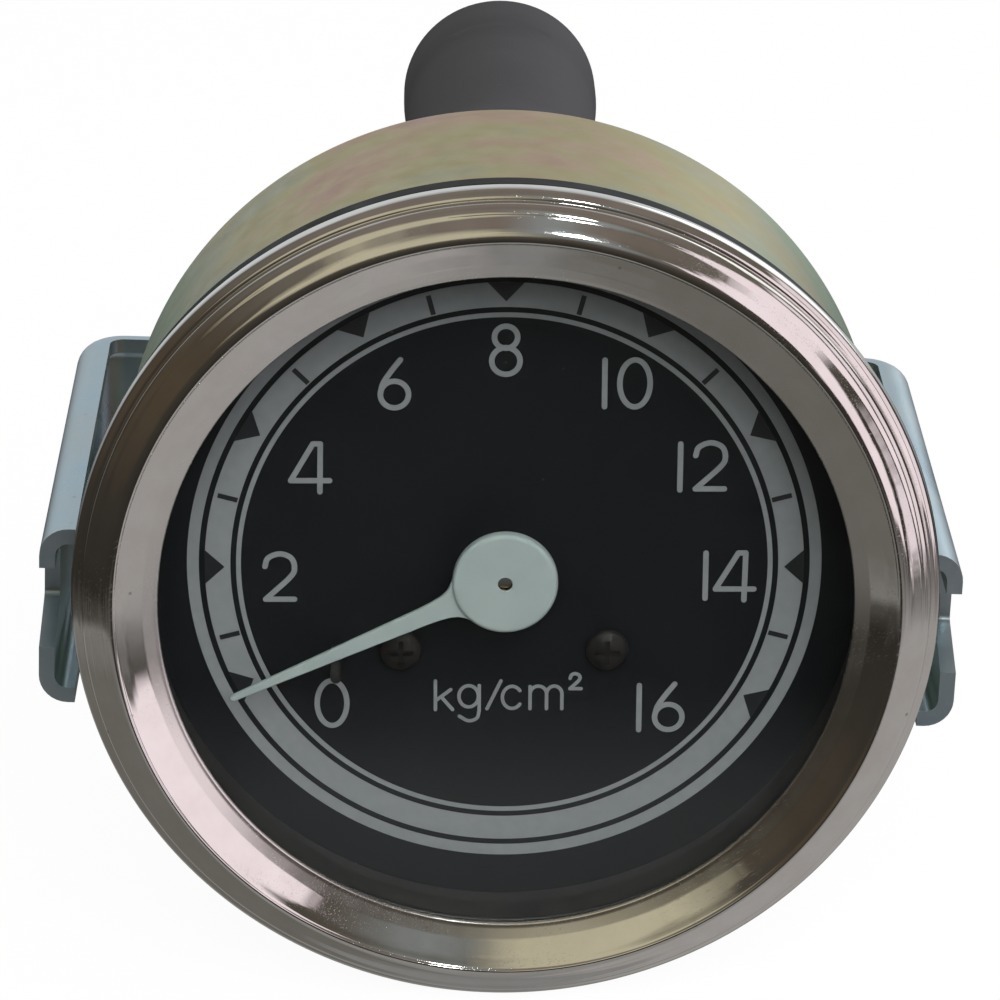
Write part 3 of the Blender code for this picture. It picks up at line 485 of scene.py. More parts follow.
# ---- outlines ------------------------------------------------------------------------
def softened(points, radius, steps=4):
    """Round the corners of a closed outline; a point may carry its own radius third."""
    result = []
    count = len(points)
    for index, point in enumerate(points):
        here = Vector(point[:2])
        before = Vector(points[index - 1][:2])
        after = Vector(points[(index + 1) % count][:2])
        reach = point[2] if len(point) > 2 else radius
        reach = min(reach, 0.5 * (before - here).length, 0.5 * (after - here).length)
        if reach < 1e-6 or here.x < 1e-6:
            result.append(tuple(here))
            continue
        start = here + (before - here).normalized() * reach
        end = here + (after - here).normalized() * reach
        for step in range(steps + 1):
            t = step / steps
            result.append(tuple(start * (1 - t) ** 2 + here * 2 * t * (1 - t) + end * t * t))
    return result


def arc(centre, radius, start, end, steps):
    """Points on an arc, angles in degrees; radius may be a pair for an ellipse."""
    rx, rz = radius if isinstance(radius, tuple) else (radius, radius)
    angles = [math.radians(start + (end - start) * i / steps) for i in range(steps + 1)]
    return [(centre[0] + rx * math.cos(a), centre[1] + rz * math.sin(a)) for a in angles]


def polar(radius, angle, centre=(0.0, 0.0)):
    return (centre[0] + radius * math.cos(angle), centre[1] + radius * math.sin(angle))


def inset(outline, distance):
    """Move each point of a counter-clockwise outline inwards."""
    result = []
    count = len(outline)
    for index, point in enumerate(outline):
        here = Vector(point)
        ahead = (Vector(outline[(index + 1) % count]) - here).normalized()
        behind = (here - Vector(outline[index - 1])).normalized()
        along = (ahead + behind).normalized()
        inward = Vector((-along.y, along.x))
        share = max(0.5, inward.dot(Vector((-ahead.y, ahead.x))))
        result.append(tuple(here + inward * distance / share))
    return result


# ---- meshes --------------------------------------------------------------------------
def skin(rings, closed=True):
    """Join rings of points into one surface; a ring of one point is a pole."""
    bm = bmesh.new()
    made = [[bm.verts.new(p) for p in ring] for ring in rings]
    pairs = list(zip(made, made[1:]))
    if closed:
        pairs.append((made[-1], made[0]))
    for a, b in pairs:
        count = max(len(a), len(b))
        if count == 1:
            continue
        for i in range(count):
            j = (i + 1) % count
            if len(a) == 1:
                bm.faces.new((a[0], b[j], b[i]))
            elif len(b) == 1:
                bm.faces.new((a[i], a[j], b[0]))
            else:
                bm.faces.new((a[i], a[j], b[j], b[i]))
    return bm


def lathe(profile, sides, centre=(0.0, 0.0)):
    """Turn a closed outline of (radius, y) about a line parallel to the gauge's axis."""
    rings = []
    for r, y in profile:
        if r < 1e-6:
            rings.append([(centre[0], y, centre[1])])
            continue
        flat = [polar(r, TURN * i / sides, centre) for i in range(sides)]
        rings.append([(x, y, z) for x, z in flat])
    return skin(rings)


def slab(outline, y_range, edge=0.0):
    """A plate from a counter-clockwise (x, z) outline, with its edges broken."""
    front, rear = y_range
    layers = [(inset(outline, edge), front), (outline, front + edge),
              (outline, rear - edge), (inset(outline, edge), rear)] if edge else \
             [(outline, front), (outline, rear)]
    bm = bmesh.new()
    rings = [[bm.verts.new((x, y, z)) for x, z in flat] for flat, y in layers]
    for a, b in zip(rings, rings[1:]):
        for i in range(len(a)):
            j = (i + 1) % len(a)
            bm.faces.new((a[i], a[j], b[j], b[i]))
    bm.faces.new(rings[0])
    bm.faces.new(rings[-1])
    return bm


def to_object(name, bm, sharp=30.0):
    bmesh.ops.recalc_face_normals(bm, faces=bm.faces)
    bm.transform(Matrix.Scale(MM, 4))
    mesh = bpy.data.meshes.new(name)
    bm.to_mesh(mesh)
    bm.free()
    mesh.shade_smooth()
    mesh.set_sharp_from_angle(angle=math.radians(sharp))
    obj = bpy.data.objects.new(name, mesh)
    bpy.context.scene.collection.objects.link(obj)
    return obj


def combine(obj, bm, operation="DIFFERENCE", use_self=False):
    """Cut a mesh from obj, or join them, and keep only the result."""
    tool = to_object(f"{obj.name}_tool", bm)
    modifier = obj.modifiers.new("combine", "BOOLEAN")
    modifier.operation = operation
    modifier.solver = "EXACT"
    modifier.use_self = use_self
    modifier.object = tool
    bpy.context.view_layer.update()
    evaluated = obj.evaluated_get(bpy.context.evaluated_depsgraph_get())
    result = bpy.data.meshes.new_from_object(evaluated)
    obj.modifiers.clear()
    old = obj.data
    obj.data = result
    result.name = obj.name
    bpy.data.meshes.remove(old)
    bpy.data.objects.remove(tool, do_unlink=True)
    result.shade_smooth()
    result.set_sharp_from_angle(angle=math.radians(30.0))


def finished(obj, material, body, replaced=()):
    """Give a made piece its material, body and the CAD nodes it stands for."""
    obj.data.materials.clear()
    obj.data.materials.append(material)
    even = obj.modifiers.new("even_shading", "WEIGHTED_NORMAL")
    even.keep_sharp = True
    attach(obj, body)
    if replaced:
        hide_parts(*replaced)
    return obj


def cylinder(centre, radius, y_range, sides=MEDIUM):
    return slab(arc(centre, radius, 0.0, 360.0, sides)[:-1], y_range)


def box(centre, half_x, half_z, y_range):
    x, z = centre
    return slab([(x - half_x, z - half_z), (x + half_x, z - half_z),
                 (x + half_x, z + half_z), (x - half_x, z + half_z)], y_range)


# ---- bezel, window and case ----------------------------------------------------------
def make_bezel():
    profile = softened(BEZEL_OUTSIDE + BEZEL_INSIDE, 2.0, 6)
    obj = to_object("bezel", lathe(profile, FINE), 60.0)
    finished(obj, CHROME, "case_body", ["bezel_ring"])


def make_window():
    front, rear = GLASS_Y
    profile = [(0.0, front), (GLASS_R - 0.35, front), (GLASS_R, front + 0.35),
               (GLASS_R, rear - 0.35), (GLASS_R - 0.35, rear), (0.0, rear)]
    obj = to_object("window", lathe(softened(profile, 0.08, 2), FINE))
    finished(obj, GLASS, "case_body", ["glass"])


def make_spacer():
    inner, outer = SPACER_R
    front, rear = SPACER_Y
    profile = softened([(outer, front), (outer, rear), (inner, rear), (inner, front)], 0.25)
    obj = to_object("spacer", lathe(profile, FINE))
    finished(obj, SPACER, "case_body", ["spacer_ring"])


def make_gasket():
    inner, outer = GASKET_R
    front, rear = GASKET_Y
    profile = softened([(outer, front), (outer, rear), (inner, rear), (inner, front)], 0.3)
    obj = to_object("gasket", lathe(profile, FINE))
    finished(obj, RUBBER, "case_body", ["panel_gasket"])


def make_case():
    inner = CASE_R - CASE_WALL
    rear_in = CASE_REAR_Y - CASE_WALL
    flange_r, flange_front, flange_rear = CASE_FLANGE
    profile = [(flange_r, flange_front), (flange_r, flange_rear), (CASE_R, flange_rear, 0.2),
               (CASE_R, CASE_REAR_Y, CASE_CORNER * 1.17), (0.0, CASE_REAR_Y), (0.0, rear_in),
               (inner, rear_in, CASE_CORNER), (inner, flange_front, 0.3)]
    obj = to_object("case_shell", lathe(softened(profile, 0.12, 8), FINE))
    wall = (rear_in - 1.0, CASE_REAR_Y + 1.0)
    combine(obj, cylinder((0.0, STEM_Z), STEM_R + 0.3, wall))
    combine(obj, cylinder(LAMP_PLACE, LAMP_HOLE_R, wall))
    for centre in CASE_SCREWS:
        combine(obj, cylinder(centre, CASE_SCREW_HOLE_R, wall, SMALL))
    finished(obj, CHROMATE, "case_body", ["case_cup"])


# ---- dial ----------------------------------------------------------------------------
def make_dial():
    front, rear = DIAL_Y
    through = (front - 1.0, rear + 1.0)
    profile = softened([(DIAL_R, front), (DIAL_R, rear), (DIAL_BORE_R, rear),
                        (DIAL_BORE_R, front)], 0.05, 2)
    obj = to_object("dial_plate", lathe(profile, FINE))
    for centre in DIAL_SCREWS:
        combine(obj, cylinder(centre, DIAL_SCREW_HOLE_R, through, SMALL))
    combine(obj, cylinder(STOP_PIN, STOP_PIN_HOLE_R, through, SMALL))
    finished(obj, DIAL, "case_body", ["dial"])


def printed_ring(radii, y_range):
    inner, outer = radii
    front, rear = y_range
    return lathe([(outer, front), (outer, rear), (inner, rear), (inner, front)], FINE)


def merged(meshes):
    """Several meshes as one."""
    whole = bmesh.new()
    for bm in meshes:
        kept = bpy.data.meshes.new("part")
        bm.to_mesh(kept)
        bm.free()
        whole.from_mesh(kept)
        bpy.data.meshes.remove(kept)
    return whole


def mark_outline(number):
    """A wedge at the even numbers, a tick at the odd ones."""
    degrees = 90.0 + (TOP_NUMBER - number) * NUMBER_STEP if number else ZERO_ANGLE
    out = Vector(polar(1.0, math.radians(degrees)))
    across = Vector((out.y, -out.x))
    if number % 2:
        inner, outer, half = TICK
        corners = [out * inner - across * half, out * inner + across * half,
                   out * outer + across * half, out * outer - across * half]
    else:
        tip, base, half = WEDGE
        corners = [out * tip, out * base + across * half, out * base - across * half]
    return [tuple(corner) for corner in corners]


def make_scale():
    face = DIAL_Y[0]
    ink = (face - PRINT_THICK, face)
    rings = [printed_ring(radii, ink) for radii in (SCALE_BAND, *PRINTED_RINGS)]
    finished(to_object("printed_rings", merged(rings)), PRINT, "case_body")
    over = (face - 2 * PRINT_THICK, face - PRINT_THICK)
    marks = [slab(mark_outline(number), over) for number in range(LAST_NUMBER + 1)]
    finished(to_object("scale_marks", merged(marks)), MARK_BLACK, "case_body")


def curve_through(points, steps=6):
    """A smooth line through points (Catmull-Rom)."""
    pts = [Vector(p) for p in points]
    pts = [pts[0] * 2 - pts[1]] + pts + [pts[-1] * 2 - pts[-2]]
    result = []
    for a, b, c, d in zip(pts, pts[1:], pts[2:], pts[3:]):
        for i in range(steps):
            t = i / steps
            point = (b * 2 + (c - a) * t + (a * 2 - b * 5 + c * 4 - d) * t * t
                     + (b * 3 - a - c * 3 + d) * t ** 3) / 2
            result.append(tuple(point))
    return result + [tuple(pts[-2])]


def glyph(character):
    """Centre-lines of one character, about its own centre."""
    if character == "0":
        return [arc((0.0, 0.0), (1.14, 1.87), 90.0, 450.0, 48)]
    if character == "1":
        return [[(0.0, 1.85), (0.0, -1.86)]]
    if character == "2":
        hook = curve_through([(-1.12, 0.92), (-0.88, 1.6), (0.0, 1.95), (0.86, 1.62),
                              (1.12, 0.85), (0.8, 0.05), (-1.1, -1.77)])
        return [hook + [(1.1, -1.77)]]
    if character == "4":
        return [[(0.76, 1.86), (0.2, 1.86), (-1.5, -1.1), (1.44, -1.1)],
                [(0.76, 1.86), (0.7, -2.0)]]
    if character == "6":
        tail = curve_through([(0.45, 1.97), (-0.25, 1.05), (-0.85, 0.1), (-1.05, -0.7)])
        return [arc((0.0, -0.79), 1.06, 0.0, 360.0, 40), tail]
    return [arc((0.0, 1.06), 0.87, -90.0, 270.0, 40), arc((0.0, -0.82), 1.06, 90.0, 450.0, 40)]


def unit_lines():
    """Centre-lines of the unit below the hub."""
    arches = []
    for left, right in ((2.03, 3.3), (3.3, 4.48)):
        middle = (left + right) / 2
        arches.append([(left, -10.9)] + arc((middle, -10.86), ((right - left) / 2, 0.7),
                                            180.0, 0.0, 14) + [(right, -12.14)])
    two = curve_through([(5.09, -9.49), (5.22, -9.18), (5.5, -9.08), (5.8, -9.24),
                         (5.8, -9.62), (5.09, -10.39)], 5)
    return [
        [(-5.25, -9.71), (-5.25, -12.21)], [(-4.08, -10.47), (-5.2, -11.4)],
        [(-4.8, -11.1), (-3.93, -12.21)],
        arc((-2.69, -11.05), (0.75, 0.93), 0.0, 360.0, 32),
        [(-1.88, -10.12)] + curve_through([(-1.88, -12.3), (-2.05, -12.95), (-2.69, -13.2),
                                           (-3.4, -12.8)], 5),
        [(-1.28, -12.14), (-0.22, -9.71)],
        arc((0.65, -11.15), (0.75, 0.97), 38.0, 322.0, 28),
        [(2.03, -10.2), (2.03, -12.14)], *arches,
        two + [(5.95, -10.39)],
    ]


def stroke_meshes(line, width, y_range):
    """A flat printed line: one ribbon for each smooth run, and a round at its ends and corners."""
    half = width / 2
    points = [Vector(p) for p in line]
    bands, rounds = [], []
    run = [points[0]]
    loop = (points[0] - points[-1]).length < 1e-6
    corners = [] if loop else [points[0], points[-1]]
    for before, here, after in zip(points, points[1:], points[2:]):
        run.append(here)
        turn = (here - before).angle(after - here)
        if turn > math.radians(30.0):
            corners.append(here)
            bands.append(run)
            run = [here]
    bands.append(run + [points[-1]])
    meshes = []
    for band in bands:
        sides = []
        for index, here in enumerate(band):
            ahead = band[index + 1] - here if index + 1 < len(band) else here - band[index - 1]
            behind = here - band[index - 1] if index else ahead
            if loop and index in (0, len(band) - 1):
                ahead, behind = band[1] - band[0], band[-1] - band[-2]
            along = (ahead.normalized() + behind.normalized()).normalized()
            sides.append(Vector((-along.y, along.x)) * half)
        left = [p + s for p, s in zip(band, sides)]
        right = [p - s for p, s in zip(band, sides)]
        meshes.append(ribbon(left, right, y_range, loop))
    for centre in corners:
        rounds.append(cylinder(tuple(centre), half, y_range, 20))
    return meshes, rounds


def ribbon(left, right, y_range, loop):
    """A closed thin solid between two lines."""
    rings = []
    for a, b in zip(left, right):
        rings.append([(a.x, y_range[0], a.y), (b.x, y_range[0], b.y),
                      (b.x, y_range[1], b.y), (a.x, y_range[1], a.y)])
    if loop:
        return skin(rings[:-1])
    bm = skin(rings, closed=False)
    bm.verts.ensure_lookup_table()
    bm.faces.new(bm.verts[:4])
    bm.faces.new(bm.verts[-4:])
    return bm


def printed(name, lines, width):
    """Printed lettering, with the ribbons and rounds joined into one clean solid."""
    ink = (DIAL_Y[0] - PRINT_THICK, DIAL_Y[0])
    bands, rounds = [], []
    for line in lines:
        more_bands, more_rounds = stroke_meshes(line, width, ink)
        bands += more_bands
        rounds += more_rounds
    obj = to_object(name, merged(bands))
    combine(obj, merged(rounds), "UNION", use_self=True)
    finished(obj, PRINT, "case_body")


def make_lettering():
    lines = []
    for text, x, z in NUMERALS:
        offsets = {1: (0.0,), 2: (-1.67, 0.6)}[len(text)]
        for character, shift in zip(text, offsets):
            lines += [[(px + x + shift, pz + z) for px, pz in line] for line in glyph(character)]
    printed("numerals", lines, NUMERAL_STROKE)
    drawn, placed = UNIT_TOP
    unit = [[(x, placed + UNIT_SQUASH * (z - drawn)) for x, z in line] for line in unit_lines()]
    printed("unit", unit, UNIT_STROKE)


def make_dial_screws():
    for side, centre in zip(("left", "right"), DIAL_SCREWS):
        profile = softened([(0.0, 3.0), (0.9, 3.08, 0.5), (1.62, 3.5, 0.4), (1.65, 3.95),
                            (0.9, 3.95), (0.9, 6.8), (0.0, 6.8)], 0.1, 4)
        obj = to_object(f"dial_screw_head_{side}", lathe(profile, SMALL, centre))
        combine(obj, box(centre, 0.95, 0.2, (2.0, 3.5)))
        combine(obj, box(centre, 0.2, 0.95, (2.0, 3.5)))
        finished(obj, BLACKENED, "case_body", [f"dial_screw_{side}"])


def make_zero_stop():
    profile = softened([(0.0, -1.4), (0.42, -1.4, 0.3), (0.42, 5.0), (0.84, 5.0),
                        (0.84, 5.4), (0.0, 5.4)], 0.04, 4)
    obj = to_object("zero_stop", lathe(profile, SMALL, STOP_PIN))
    finished(obj, BLACKENED, "case_body", ["dial_stop_pin"])


# ---- pointer -------------------------------------------------------------------------
def make_pointer():
    along = Vector(polar(1.0, POINTER_ANGLE))
    across = Vector((-along.y, along.x))
    right = [tuple(along * s - across * w) for s, w in BLADE_EDGE]
    left = [tuple(along * s + across * w) for s, w in reversed(BLADE_EDGE)]
    front, rear = HUB_Y
    profile = [(0.55, front + 0.02, 0.05), (HUB_R, front, 0.42), (HUB_R, rear, 0.1),
               (1.9, rear), (1.9, rear + 1.0), (1.0, rear + 1.0), (1.0, front + 0.25),
               (0.55, front + 0.25)]
    obj = to_object("pointer_hand", lathe(softened(profile, 0.05, 8), MEDIUM))
    combine(obj, slab(right + left, BLADE_Y, 0.07), "UNION")
    finished(obj, POINTER_PAINT, "spindle_body", ["pointer"])


# ---- rear fittings -------------------------------------------------------------------
def thread_radius(y, angle, y_range, crest):
    """Radius of a metric thread at a place, run out smoothly at both ends."""
    phase = (y / THREAD_PITCH - angle / TURN) % 1.0
    tooth = min(1.0, max(0.0, abs(2.0 * phase - 1.0) * 1.6 - 0.2))
    fade = min(1.0, (y - y_range[0]) / 2.0, (y_range[1] - y) / 1.0)
    return crest - THREAD_DEPTH * (1.0 - tooth) * max(0.0, fade)


def make_stem():
    """The threaded pressure connection, with its bore open at the rear."""
    start, end = STEM_Y
    thread = (start + 4.5, end - 0.6)
    angles = [TURN * i / MEDIUM for i in range(MEDIUM)]
    rings = [[(0.0, start, STEM_Z)]]
    steps = int((THREAD_END_Y - start) / (THREAD_PITCH / 12))
    for k in range(steps + 1):
        y = start + (THREAD_END_Y - start) * k / steps
        ring = []
        for angle in angles:
            r = thread_radius(y, angle, thread, STEM_R) if thread[0] < y < thread[1] else STEM_R
            ring.append((r * math.cos(angle), y, STEM_Z + r * math.sin(angle)))
        rings.append(ring)
    for r, y in ((STEM_R - THREAD_DEPTH, end), (STEM_BORE_R + 0.5, end),
                 (STEM_BORE_R, end - 0.5), (STEM_BORE_R, STEM_BORE_FLOOR_Y)):
        flat = [polar(r, angle, (0.0, STEM_Z)) for angle in angles]
        rings.append([(x, y, z) for x, z in flat])
    rings.append([(0.0, STEM_BORE_FLOOR_Y - 0.2, STEM_Z)])
    obj = to_object("pressure_stem", skin(rings, closed=False), 40.0)
    finished(obj, BRASS, "case_body", ["socket"])


def make_socket_block():
    """The part of the socket inside the case, taken from its CAD shape in front of the stem."""
    bm = bmesh.new()
    bm.from_mesh(nodes["socket"].data)
    bm.transform(Matrix.Scale(1 / MM, 4))
    bmesh.ops.bisect_plane(bm, geom=bm.verts[:] + bm.edges[:] + bm.faces[:],
                           plane_co=(0.0, STEM_Y[0], 0.0), plane_no=(0.0, 1.0, 0.0),
                           clear_outer=True)
    bmesh.ops.remove_doubles(bm, verts=bm.verts, dist=1e-4)
    rim = [edge for edge in bm.edges if edge.is_boundary]
    bmesh.ops.holes_fill(bm, edges=rim)
    obj = to_object("socket_block", bm)
    finished(obj, BRASS, "case_body", ["socket"])


def make_case_screws():
    seat = FITTING_Y
    cross = (seat + 0.7, seat + 3.0)
    for side, centre in zip(("left", "right"), CASE_SCREWS):
        profile = softened([(0.0, 20.9), (1.2, 20.9), (1.2, seat), (2.4, seat),
                            (2.4, seat + 0.7, 0.5), (1.3, seat + 1.4, 1.0), (0.0, seat + 1.4)],
                           0.08, 5)
        obj = to_object(f"case_screw_head_{side}", lathe(profile, SMALL, centre))
        combine(obj, box(centre, 1.5, 0.28, cross))
        combine(obj, box(centre, 0.28, 1.5, cross))
        finished(obj, STEEL, "case_body", [f"case_screw_{side}"])


def turned_piece(name, profile, material, body, replaced, centre):
    obj = to_object(name, lathe(softened(profile, 0.12, 5), MEDIUM, centre))
    finished(obj, material, body, [replaced])


def make_boot():
    front, rear = BOOT_Y
    profile = [(8.45, front, 0.4), (8.4, front + 1.6, 1.5), (7.9, front + 5.0, 3.0),
               (7.8, rear - 9.0, 3.0), (8.2, rear - 5.5, 3.0), (8.2, rear, 0.9),
               (2.0, rear, 0.4), (2.0, 47.0), (5.6, 45.0, 0.5), (5.6, front, 0.3)]
    turned_piece("rubber_boot", profile, BOOT, "lamp_body", "lamp_boot", LAMP_PLACE)


def make_lamp_bush():
    seat = FITTING_Y
    profile = [(5.6, 18.0), (6.3, 18.0), (6.3, seat), (7.3, seat, 0.2), (7.3, seat + 1.0, 0.3),
               (5.6, seat + 1.0, 0.2)]
    turned_piece("lamp_bush", profile, PLASTIC, "case_body", "lamp_sleeve",
                 LAMP_PLACE)


def make_nut():
    front, rear = NUT_Y
    centre = (0.0, STEM_Z)
    corner = NUT_FLATS / 2 / math.cos(math.radians(30.0))
    obj = to_object("clamp_nut", slab(arc(centre, corner, 0.0, 360.0, 6)[:-1], NUT_Y))
    chamfer = [(0.0, front), (8.7, front), (10.6, front + 1.0), (10.6, rear - 1.0), (8.7, rear),
               (0.0, rear)]
    combine(obj, lathe(chamfer, MEDIUM, centre), "INTERSECT")
    bore = [(0.0, front - 1.0), (7.6, front - 1.0), (6.15, front + 0.45), (6.15, rear - 0.45),
            (7.6, rear + 1.0), (0.0, rear + 1.0)]
    combine(obj, lathe(bore, MEDIUM, centre))
    finished(obj, ZINC, "nut_body", ["bracket_nut"])


def make_stem_washers():
    """The plated washer under the nut, and the sealing washer on the case's rear."""
    centre = (0.0, STEM_Z)
    seat = BRACKET_Y[1] + 0.3
    profile = [(6.4, seat), (10.0, seat), (10.0, seat + 1.0), (6.4, seat + 1.0)]
    turned_piece("clamp_washer", profile, ZINC, "bracket_body", "bracket_washer", centre)
    seat = FITTING_Y
    profile = [(STEM_R + 0.3, seat), (9.0, seat), (9.0, seat + 1.2), (STEM_R + 0.3, seat + 1.2)]
    turned_piece("seal_washer", profile, RUBBER, "case_body", "stem_washer", centre)


# ---- bracket -------------------------------------------------------------------------
def u_plate(half_w, y_range, corner, z_range):
    """A U's plan with rounded rear corners, extruded along Z."""
    front, rear = y_range
    plan = [(BRACKET_X + half_w, front)]
    for side, start in ((1.0, 0.0), (-1.0, 90.0)):
        centre = (BRACKET_X + side * (half_w - corner), rear - corner)
        plan += arc(centre, corner, start, start + 90.0, BRACKET_CORNER_STEPS)
    plan += [(BRACKET_X - half_w, front)]
    bm = bmesh.new()
    rings = [[bm.verts.new((x, y, z)) for x, y in plan] for z in z_range]
    for i in range(len(plan)):
        j = (i + 1) % len(plan)
        bm.faces.new((rings[0][i], rings[0][j], rings[1][j], rings[1][i]))
    for ring in rings:
        bm.faces.new(ring)
    bmesh.ops.recalc_face_normals(bm, faces=bm.faces)
    return bm


def bent(bm, front, radius, segments):
    """Round the long edges where the web turns into its two flanges."""
    level = [e for e in bm.edges if abs(e.verts[0].co.z - e.verts[1].co.z) < 1e-6]
    long = [e for e in level if not all(abs(v.co.y - front) < 1e-6 for v in e.verts)]
    bmesh.ops.bevel(bm, geom=long, offset=radius, segments=segments, profile=0.5, affect="EDGES")
    return bm


def tilted(bm):
    """Turn a mesh about the stem, as the bracket sits on it."""
    bmesh.ops.rotate(bm, verts=bm.verts, cent=(0.0, 0.0, STEM_Z),
                     matrix=Matrix.Rotation(BRACKET_TILT, 3, "Y"))
    return bm


def notch_cutter(front, high):
    """A bar across both feet that leaves an upper lug and a slanted lower one."""
    lug = high - LUG_DROP
    outline = softened([(front - 1.0, lug), (front + NOTCH_DEPTH, lug, 0.6),
                        (front + NOTCH_DEPTH, lug - 4.5, 0.5), (front, lug - 6.5),
                        (front - 1.0, lug - 6.5)], 0.0)
    bm = bmesh.new()
    ends = [[bm.verts.new((x, y, z)) for y, z in outline] for x in (-50.0, 50.0)]
    for i in range(len(outline)):
        j = (i + 1) % len(outline)
        bm.faces.new((ends[0][i], ends[0][j], ends[1][j], ends[1][i]))
    for end in ends:
        bm.faces.new(end)
    return bm


def make_bracket():
    front, rear = BRACKET_Y
    low, high = STEM_Z - BRACKET_HALF_H, STEM_Z + BRACKET_HALF_H
    sheet, flange = BRACKET_SHEET, BRACKET_FLANGE
    outer = u_plate(BRACKET_HALF_W, BRACKET_Y, BRACKET_CORNER_R, (low, high))
    obj = to_object("clamp_bracket", tilted(bent(outer, front, BRACKET_BEND_R, 8)))
    channel = u_plate(BRACKET_HALF_W - sheet, (front - 5.0, rear - sheet),
                      BRACKET_CORNER_R - sheet, (low + sheet, high - sheet))
    combine(obj, tilted(bent(channel, front - 5.0, BRACKET_BEND_R - sheet, 6)))
    throat = u_plate(BRACKET_HALF_W - flange, (front - 5.0, rear - flange),
                     BRACKET_CORNER_R - flange, (low - 1.0, high + 1.0))
    combine(obj, tilted(throat))
    combine(obj, tilted(notch_cutter(front, high)))
    combine(obj, cylinder((0.0, STEM_Z), STEM_R + 0.4, (rear - 3.0, rear + 1.0)))
    edges = obj.modifiers.new("broken_edges", "BEVEL")
    edges.width = 0.16 * MM
    edges.segments = 2
    edges.angle_limit = math.radians(40.0)
    edges.harden_normals = True
    finished(obj, ZINC, "bracket_body", ["bracket"])


# ---- CAD nodes that keep their own shape ---------------------------------------------
def dress_movement():
    finishes = {
        RUBBER: ["glass_seal"],
        BRASS: ["dial_post_left", "dial_post_right", "front_plate", "back_plate", "pillar_1",
                "pillar_2", "pillar_3", "hairspring_collet", "sector_gear", "link", "tube_tip",
                "pointer_bush", "bulb_cap", "lamp_contact"],
        BRONZE: ["bourdon_tube", "hairspring"],
        STEEL: ["pillar_screw_1", "pillar_screw_2", "pillar_screw_3", "movement_screw_1",
                "movement_screw_2", "pinion_spindle", "hairspring_stud", "sector_shaft",
                "tail_pin", "tip_pin", "stop_pin_low", "stop_pin_high"],
        NICKELLED: ["lamp_holder"],
        GLASS: ["bulb_glass"],
    }
    for material, names in finishes.items():
        for name in names:
            mesh = nodes[name].data
            mesh.materials.clear()
            mesh.materials.append(material)


# ---- camera, light and floor ---------------------------------------------------------
def aimed(obj, place, target, roll=0.0):
    direction = (Vector(target) - Vector(place)).normalized()
    turn = direction.to_track_quat("-Z", "Y").to_matrix().to_4x4()
    obj.matrix_world = Matrix.Translation(Vector(place)) @ turn @ Matrix.Rotation(roll, 4, "Z")


def make_camera():
    camera = bpy.data.cameras.new("camera")
    camera.lens = CAMERA_LENS
    camera.sensor_width = 36.0
    camera.clip_start = 0.01
    obj = bpy.data.objects.new("camera", camera)
    bpy.context.scene.collection.objects.link(obj)
    aimed(obj, CAMERA_PLACE, CAMERA_AIM, CAMERA_ROLL)
    bpy.context.scene.camera = obj


def softbox(name, place, target, size, radiance, colour):
    """A rectangular lamp whose face has the given brightness."""
    lamp = bpy.data.lights.new(name, "AREA")
    lamp.shape = "RECTANGLE"
    lamp.size, lamp.size_y = size
    lamp.energy = radiance * math.pi * size[0] * size[1]
    lamp.color = colour
    obj = bpy.data.objects.new(name, lamp)
    bpy.context.scene.collection.objects.link(obj)
    aimed(obj, place, target)
    return obj


def make_lights():
    """A soft lamp for the dial, kept out of the plating, and one small hard lamp."""
    centre = (0.0, 0.0, 0.0)
    dial_lamp = softbox("dial_lamp", (0.1, -0.72, 0.5), centre, (0.5, 0.4), 5.4, (1.0, 0.98, 0.98))
    dial_lamp.visible_glossy = False
    softbox("glint", (0.2, -0.6, 0.775), centre, (0.09, 0.09), 24.0, (0.96, 1.0, 1.0))
    side = softbox("side_panel", (0.42, 0.5, 0.3), centre, (0.4, 0.4), 0.9, (0.95, 0.98, 1.0))
    side.visible_camera = False


# Soft-edged panels of the room that the plating mirrors: azimuth from the front
# towards the reader's right, elevation, softness of the edges (degrees), colour.
ROOM_PANELS = (
    ((15.0, 140.0), (-80.0, -19.0), 6.0, (0.36, 0.35, 0.35)),    # table lit by the window
    ((-135.0, -15.0), (-80.0, -25.0), 6.0, (0.15, 0.145, 0.135)),  # table away from it
    ((34.0, 70.0), (-13.0, 40.0), 1.5, (0.98, 0.87, 0.94)),      # window, near pane
    ((78.0, 112.0), (-15.0, 38.0), 1.5, (0.90, 0.80, 0.87)),     # window, far pane
    ((-110.0, -45.0), (4.0, 30.0), 9.0, (0.075, 0.058, 0.040)),  # warm wall
    ((-48.0, 3.0), (24.0, 54.0), 5.0, (0.52, 0.49, 0.36)),       # cream ceiling
    ((7.0, 26.0), (30.0, 66.0), 7.0, (0.26, 0.29, 0.30)),        # glow round the hard lamp
)
ROOM_LEVELS = ((-90.0, (0.21, 0.215, 0.22)), (-45.0, (0.27, 0.27, 0.26)),
               (-24.6, (0.27, 0.27, 0.27)), (-23.4, (0.026, 0.024, 0.021)),
               (10.0, (0.048, 0.042, 0.034)), (40.0, (0.13, 0.118, 0.10)),
               (65.0, (0.20, 0.17, 0.15)), (90.0, (0.16, 0.15, 0.13)))
BACKDROP = (0.62, 0.66, 0.68, 1.0)


def panel_mask(tree, azimuth, elevation, azimuths, elevations, soft):
    """1 inside a rectangle of directions, 0 outside, with soft edges."""
    mask = 1.0
    for value, (low, high) in ((azimuth, azimuths), (elevation, elevations)):
        for edge, sign in ((low, 1.0), (high, -1.0)):
            side = remap(tree, value, edge - soft * sign, edge + soft * sign)
            mask = math_node(tree, "MULTIPLY", mask, side)
    return mask


